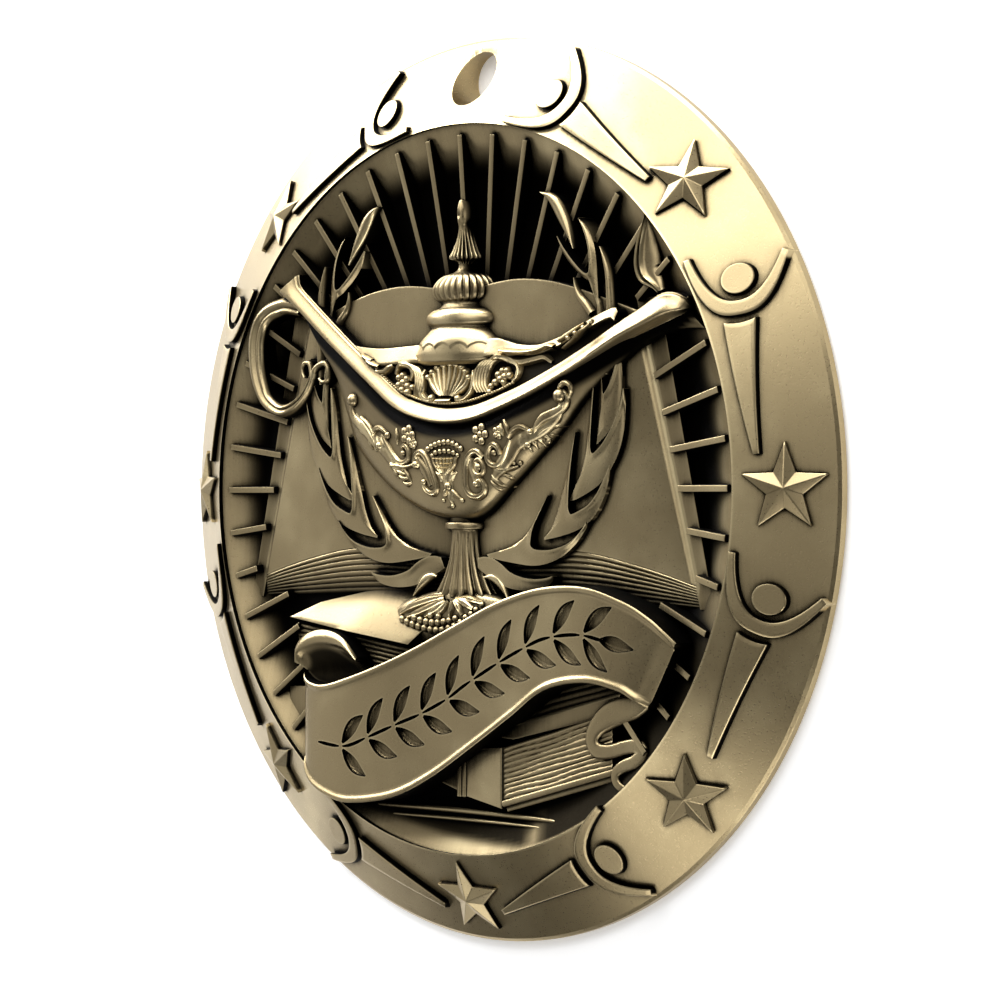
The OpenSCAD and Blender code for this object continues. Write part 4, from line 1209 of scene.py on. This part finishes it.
def makeOrnament(bowlTree, shoulderTree, footTree):
    shapes = ornament["beadShapes"]

    def lay(work, tree, kind, points, widths, groove=0.0):
        join(work, [tendril(tree, points, widths, ornament["rises"][kind], groove)])

    work = bmesh.new()
    for points, widths, groove in ornament["bowlScrolls"]:
        lay(work, bowlTree, "scroll", points, widths, groove)
    for points, widths in ornament["bowlBacks"]:
        lay(work, bowlTree, "back", points, widths)
    for points in ornament["bowlLeaves"]:
        lay(work, bowlTree, "leaf", points, ornament["leafWidths"])
    basket = ornament["basket"]
    for i in range(basket["canes"]):
        k = 2 * i / (basket["canes"] - 1) - 1
        cane = [(k * basket["half"], basket["top"]), (k * basket["waist"], basket["middle"]),
                (k * basket["low"], basket["bottom"])]
        lay(work, bowlTree, "cane", cane, basket["caneWidths"])
    for y in basket["bands"]:
        up = (y - basket["bottom"]) / (basket["top"] - basket["bottom"])
        wide = basket["half"] * (basket["bandShare"] + (1 - basket["bandShare"]) * up)
        band = [(-wide, y), (0, y - basket["bandSag"]), (wide, y)]
        lay(work, bowlTree, "band", band, basket["bandWidths"])
    join(work, [beads(bowlTree, ornament["bowlBeads"], shapes["bowl"])])
    count, turn, middle = ornament["petals"]
    for x, y, ring, petal in ornament["flowers"]:
        places = [(x, y, petal * middle)]
        for k in range(count):
            places.append((x + ring * math.cos(k * turn), y + ring * math.sin(k * turn), petal))
        join(work, [beads(bowlTree, places, shapes["flower"])])
    finishWork(work, "bowl")

    work = bmesh.new()
    ribs = ornament["shellRibs"]
    bx, by = ribs["base"]
    sideways, upwards = ribs["middle"]
    for x, y in ornament["shell"]:
        rib = [(bx + x * ribs["spread"], by), (x * sideways, by + (y - by) * upwards), (x, y)]
        lay(work, shoulderTree, "rib", rib, ribs["widths"])
    out, up, size = ribs["bead"]
    rim = [(x * out, y + up, size) for x, y in ornament["shell"]]
    join(work, [beads(shoulderTree, rim, shapes["shell"])])
    for points, widths, groove in ornament["shoulderScrolls"]:
        lay(work, shoulderTree, "shoulder", points, widths, groove)
    for points, step, count, widths in ornament["fans"]:
        for i in range(count):
            stroke = [(x + step[0] * i, y + step[1] * i) for x, y in points]
            lay(work, shoulderTree, "fan", stroke, widths)
    join(work, [beads(shoulderTree, ornament["shoulderBeads"], shapes["shoulder"])])
    count, size, facets = ornament["lineBeads"]
    line = [(p[0], p[1], size) for p in smoothRows(ornament["beadLine"], count)]
    join(work, [beads(shoulderTree, line, shapes["line"], facets)])
    finishWork(work, "shoulder")

    work = beads(footTree, ornament["footBeads"], shapes["foot"])
    for points, widths in ornament["footLeaves"]:
        lay(work, footTree, "foot", points, widths, ornament["footGroove"])
    finishWork(work, "foot")


makeOrnament(*makeLamp())
print("lamp ready")


banner = {
    "rise": 3.5,
    "columns": [  # x top, y top, x bottom, y bottom, height share
        (-608, -516, -606, -762, 0.6), (-602, -526, -601, -790, 0.72), (-584, -540, -582, -818, 0.81),
        (-552, -550, -545, -844, 0.89), (-500, -554, -480, -866, 0.96), (-425, -540, -380, -880, 1),
        (-280, -496, -210, -855, 0.97), (-130, -440, -65, -795, 0.91), (35, -370, 100, -700, 0.89),
        (195, -305, 245, -612, 0.89), (360, -264, 378, -534, 0.94), (525, -258, 525, -508, 0.97),
        (670, -295, 640, -524, 0.93), (748, -332, 688, -545, 0.88), (790, -362, 708, -556, 0.82),
        (826, -396, 728, -568, 0.7)],
    "rim": 20,  # width of the raised rim, thousandths
    "rimRise": 0.2,
    "sprig": [(-520, -716), (-400, -722), (-300, -690), (-190, -650), (-97, -617), (0, -574), (67, -535),
              (150, -492), (220, -458), (300, -424), (369, -399), (450, -386), (520, -384), (580, -394)],
    "leaf": {"every": 8, "long": 118, "half": 20, "angle": 40, "deep": 0.5, "away": 9, "bow": 9,
             "shape": (0.2, 0.7, 0.97, 1, 0.8, 0.47, 0.1)},
    "stem": {"steps": 84, "deep": 0.4, "half": (2.5, 4, 5, 5, 5, 5, 4, 2.5)},
    "cutter": {"steps": (18, 8), "above": 6, "skin": 0.06, "flat": 4, "top": 9.0},
    "roll": [(-645, -488, -596, -530), (-643, -445, -566, -548), (-592, -410, -510, -556),
             (-520, -400, -460, -552), (-448, -420, -410, -540), (-384, -474, -366, -520)],
    "ribbon": [(704, -548, 12), (676, -560, 22), (640, -571, 31), (598, -580, 36), (548, -598, 36),
               (508, -628, 29), (492, -660, 24), (508, -688, 22), (556, -690, 20), (612, -676, 20),
               (652, -672, 21), (672, -688, 22), (648, -711, 20), (606, -726, 18), (580, -744, 16),
               (580, -768, 14), (602, -784, 12), (626, -780, 6)],
    "ribbonShare": 0.4,
    "ribbonHeights": (-0.25, 0.12),  # edge and crest, mm
    "ribbonFlat": 6,
    "rollHeight": 0.69,
    "rollRim": (0.1, 0.3),  # height, and share of the way across
    "rollHollow": (0.42, 0.22, 0.8),  # depth, from, to
    "rollStart": (0.3, 0.5),  # share of the depth at its first end, full by
    "rollBlack": (0.94, 30, 62),
    "rimStart": 5,
    "round": 0.2,
    "rollRound": 0.1,
    "steps": {"face": (150, 44), "roll": (50, 30), "ribbon": (120, 14)},
    "crease": 45,
}


def flatRound(power):
    return lambda s: (1 - s ** power) ** 0.5


def makeBanner():
    floor, rise, steps, crease = medal["floor"], banner["rise"], banner["steps"], banner["crease"]
    columns = smoothRows(banner["columns"], steps["face"][0])

    def face(u, v):
        c = rowAt(columns, u)
        w = 0.5 - 0.5 * math.cos(math.pi * v)
        x, y = acrossRow(c, w)
        away = min(w, 1 - w) * math.hypot(c[2] - c[0], c[3] - c[1]) + banner["rimStart"]
        rim = banner["rimRise"] * math.sin(math.pi * min(1, away / (banner["rim"] + banner["rimStart"])))
        return (x * share, y * share, floor + rise * c[4] + rim)

    whole = standOnFloor(sheet(*steps["face"], face), edge=banner["round"])
    tree = BVHTree.FromBMesh(whole)
    piece = finishPiece(whole, "banner", crease)

    # a plain sunk sprig of leaves in the middle of the face
    cutter = bmesh.new()
    leaf, stem, cut = banner["leaf"], banner["stem"], banner["cutter"]
    line = smoothRows(banner["sprig"], stem["steps"])
    last = len(line) - 1

    def sunk(points, widths, deep):
        rows = []
        for i, p in enumerate(points):
            z = surfaceAt(tree, p[0] * share, p[1] * share, cut["above"])
            rows.append((p[0] * share, p[1] * share, widths[i] * share, z - cut["skin"], z - deep))
        join(cutter, [strand(rows, *cut["steps"], flatRound(cut["flat"]), base=cut["top"])])

    def sunkLeaf(start, towards, sideways):
        count = len(leaf["shape"]) - 1
        points = [start + towards * leaf["long"] * i / count + sideways * math.sin(math.pi * i / count)
                  for i in range(count + 1)]
        sunk(points, [leaf["half"] * w for w in leaf["shape"]], leaf["deep"])

    turn = math.radians(leaf["angle"])
    for k in range(0, last, leaf["every"]):
        d = directionAt(line, k)
        n = Vector((-d[1], d[0]))
        for way in (-1, 1) if k else ():
            tip = d * math.cos(turn) + n * way * math.sin(turn)
            sunkLeaf(line[k] + n * way * leaf["away"], tip, n * way * leaf["bow"])
        sunk([line[min(k + i, last)] for i in range(leaf["every"])], stem["half"], stem["deep"])
    sunkLeaf(line[last], directionAt(line, last - 1), Vector((0, 0)))
    bmesh.ops.recalc_face_normals(cutter, faces=cutter.faces)
    bmesh.ops.scale(cutter, vec=(mm, mm, mm), verts=cutter.verts)
    tool = newObject(cutter, "sprig")
    carve = piece.modifiers.new("sprig", "BOOLEAN")
    carve.operation, carve.object, carve.solver, carve.use_self = "DIFFERENCE", tool, "EXACT", True
    bakeModifiers(piece, tool)

    rolls = smoothRows(banner["roll"], steps["roll"][0])

    def roll(u, v):
        x, y = acrossRow(rowAt(rolls, u), v)
        rimRise, rimShare = banner["rollRim"]
        rim = rimRise * math.sin(math.pi * min(1, v / rimShare))
        deep, start, end = banner["rollHollow"]
        least, full = banner["rollStart"]
        hollow = deep * ease(v, start, end) * (least + (1 - least) * ease(u, 0, full))
        return (x * share, y * share, floor + rise * (banner["rollHeight"] + rim - hollow))

    def inHollow(x, y):
        near = min(math.hypot(x / share - p[0], y / share - p[1]) for p in rolls)
        black, start, end = banner["rollBlack"]
        return black * ease(near, start, end)

    rollMesh = standOnFloor(sheet(*steps["roll"], roll), edge=banner["rollRound"])
    finishPiece(rollMesh, "bannerRoll", crease, inHollow)

    high = floor + rise * banner["ribbonShare"]
    low, top = banner["ribbonHeights"]
    rows = inShares(banner["ribbon"], high + low, high + top)
    finishPiece(strand(rows, *steps["ribbon"], flatRound(banner["ribbonFlat"])), "bannerTail", crease)


makeBanner()
print("banner ready")


stack = {
    "rise": 2.0,
    "plain": [  # smooth faces, corner by corner as x, y, height share
        [[(-722, -368, 0.6), (-600, -322, 0.36)], [(-450, -402, 0.94), (-350, -275, 0.12)],
         [(-190, -432, 1.05), (0, -260, 0.1)]],
        [[(-728, -568, 0.45), (-728, -726, 0.45)], [(-640, -566, 0.45), (-640, -726, 0.45)]],
        [[(24, -710, 0.74), (24, -841, 0.74)], [(167, -700, 0.84), (167, -866, 0.84)]],
        [[(-135, -790, 0.4), (-135, -800, 0.4)], [(-10, -742, 0.4), (-10, -836, 0.4)]],
        [[(105, -664, 0.44), (110, -674, 0.44)], [(180, -641, 0.48), (186, -678, 0.48)],
         [(576, -540, 0.4), (564, -592, 0.4)]]],
    "ridged": [  # page edges: rows as above, ridges, ridge height, waviness
        ([[(-700, -384, 0.42), (-700, -476, 0.3)], [(-450, -416, 0.44), (-450, -510, 0.32)],
          [(-190, -448, 0.44), (-190, -545, 0.34)]], 7, 0.16, 0.0),
        ([[(166, -700, 0.8), (166, -842, 0.8)], [(360, -646, 0.72), (360, -792, 0.72)],
          [(560, -586, 0.6), (560, -735, 0.6)]], 10, 0.13, 0.16),
        ([[(60, -640, 0.3), (120, -664, 0.3)], [(300, -540, 0.3), (330, -612, 0.3)],
          [(560, -486, 0.3), (575, -552, 0.3)]], 4, 0.12, 0.0)],
    "strips": [  # rounded bars: x, y, half width, height share
        ([(-9, -716, 9, 0.72), (-9, -780, 9, 0.72), (-9, -843, 9, 0.72)], 0.5),
        ([(13, -712, 8, 0.76), (13, -776, 8, 0.76), (13, -842, 8, 0.76)], 0.5),
        ([(168, -852, 9, 0.84), (370, -797, 9, 0.74), (600, -734, 9, 0.6)], 0.5),
        ([(172, -866, 8, 0.62), (370, -812, 9, 0.56), (590, -752, 9, 0.46)], 0.5)],
    "ground": [[(-470, -893, 3), (-300, -886, 7), (0, -884, 8), (300, -888, 7), (420, -895, 3)],
               [(-430, -912, 3), (-250, -909, 5), (0, -907, 6), (250, -909, 5), (400, -914, 3)]],
    "groundRise": 1.0,
    "groundSide": 0.3,
    "steps": {"plain": (16, 8), "ridged": (70, 8), "strip": (20, 10), "ground": (50, 10)},
    "wave": (11, 9),
    "ridgeShape": 0.7,
    "ridgeStart": (0.25, 30),  # share of their height at the first end, and how soon they reach it
    "round": 0.09,
    "crease": 38,
}


def makeStack():
    floor, rise, steps = medal["floor"], stack["rise"], stack["steps"]

    def between(rows, u, v):
        a = tableAt([r[0] for r in rows], u)
        b = tableAt([r[1] for r in rows], u)
        return [m + (n - m) * v for m, n in zip(a, b)]

    whole = bmesh.new()
    for rows in stack["plain"]:
        def plain(u, v):
            x, y, z = between(rows, u, v)
            return (x * share, y * share, floor + rise * z)
        join(whole, [standOnFloor(sheet(*steps["plain"], plain), edge=stack["round"])])
    for rows, ridges, high, wavy in stack["ridged"]:
        def pages(u, v):
            x, y, z = between(rows, u, v)
            wave = wavy * math.sin(u * stack["wave"][0]) * math.sin(v * stack["wave"][1])
            ridge = abs(math.sin(math.pi * (v * ridges + wave))) ** stack["ridgeShape"]
            ridge *= min(1, stack["ridgeStart"][0] + u * stack["ridgeStart"][1])
            return (x * share, y * share, floor + rise * z - high + high * ridge)
        join(whole, [standOnFloor(sheet(steps["ridged"][0], ridges * steps["ridged"][1], pages))])
    for rows, drop in stack["strips"]:
        rows = [(x * share, y * share, w * share, floor + rise * z - drop * w * share, floor + rise * z)
                for x, y, w, z in rows]
        join(whole, [strand(rows, *steps["strip"])])
    high = floor + stack["groundRise"]
    for rows in stack["ground"]:
        join(whole, [strand(inShares(rows, high - stack["groundSide"], high), *steps["ground"])])
    finishPiece(whole, "bookStack", stack["crease"])


makeStack()
print("closed books ready")


table = {"half": 1500, "below": 0.02, "paper": "#FFFFFF", "roughness": 0.9, "glow": 0.2}


def makeStage():
    floor = bmesh.new()
    bmesh.ops.create_grid(floor, x_segments=1, y_segments=1, size=table["half"] * mm)
    piece = newObject(floor, "floor")
    paper = bpy.data.materials.new("whitePaper")
    paper.use_nodes = True
    skin = paper.node_tree.nodes["Principled BSDF"]
    skin.inputs["Base Color"].default_value = toLinear(table["paper"])
    skin.inputs["Roughness"].default_value = table["roughness"]
    skin.inputs["Emission Color"].default_value = (1, 1, 1, 1)  # a light table, so the sheet stays white
    skin.inputs["Emission Strength"].default_value = table["glow"]
    piece.data.materials.append(paper)
    piece.location.z = -table["below"] * mm


lights = {  # softboxes: bearing and height in degrees, width and height in mm, brightness
    "topLeft": (122, 15, 1100, 360, 11.0),
    "top": (74, 42, 820, 340, 2.9),
    "overTop": (95, 60, 420, 400, 2.2),
    "above": (0, 82, 460, 460, 0.5),
    "left": (185, 28, 900, 620, 0.52),
    "bottom": (268, 38, 340, 340, 2.1),
    "bottomRight": (300, 12, 340, 300, 5.4),
    "right": (0, 12, 320, 300, 1.6),
}
studio = {
    "sky": 0.08,
    "away": 700,  # mm, distance of the lights
    "sensor": 36,
    "lens": 118.52,
    "clip": (0.01, 10),
    "camera": (197.1, -0.9, 196.9),
}


def makeLights():
    for name, (bearing, height, wide, tall, bright) in lights.items():
        a, e = math.radians(bearing), math.radians(height)
        towards = Vector((math.cos(e) * math.cos(a), math.cos(e) * math.sin(a), math.sin(e)))
        place = towards * studio["away"] * mm
        data = bpy.data.lights.new(name, "AREA")
        data.shape, data.size, data.size_y = "RECTANGLE", wide * mm, tall * mm
        data.energy = bright * math.pi * data.size * data.size_y
        lightPiece = bpy.data.objects.new(name, data)
        lightPiece.location = place
        lightPiece.rotation_euler = (-place).to_track_quat("-Z", "Y").to_euler()
        bpy.context.collection.objects.link(lightPiece)
    world = bpy.data.worlds.new("studio")
    world.use_nodes = True
    sky = world.node_tree.nodes["Background"].inputs
    sky["Color"].default_value = (1, 1, 1, 1)
    sky["Strength"].default_value = studio["sky"]
    bpy.context.scene.world = world
    bpy.context.scene.view_settings.view_transform = "Standard"


def makeCamera():
    data = bpy.data.cameras.new("camera")
    data.sensor_width, data.lens = studio["sensor"], studio["lens"]
    data.clip_start, data.clip_end = studio["clip"]
    camera = bpy.data.objects.new("camera", data)
    half = math.sqrt(0.5)  # it looks down at 45 degrees
    camera.matrix_world = Matrix.Translation(Vector(studio["camera"]) * mm) @ Matrix((
        (half, 0, half, 0), (0, 1, 0, 0), (-half, 0, half, 0), (0, 0, 0, 1)))
    bpy.context.collection.objects.link(camera)
    bpy.context.scene.camera = camera


makeStage()
makeLights()
makeCamera()
print("stage ready")
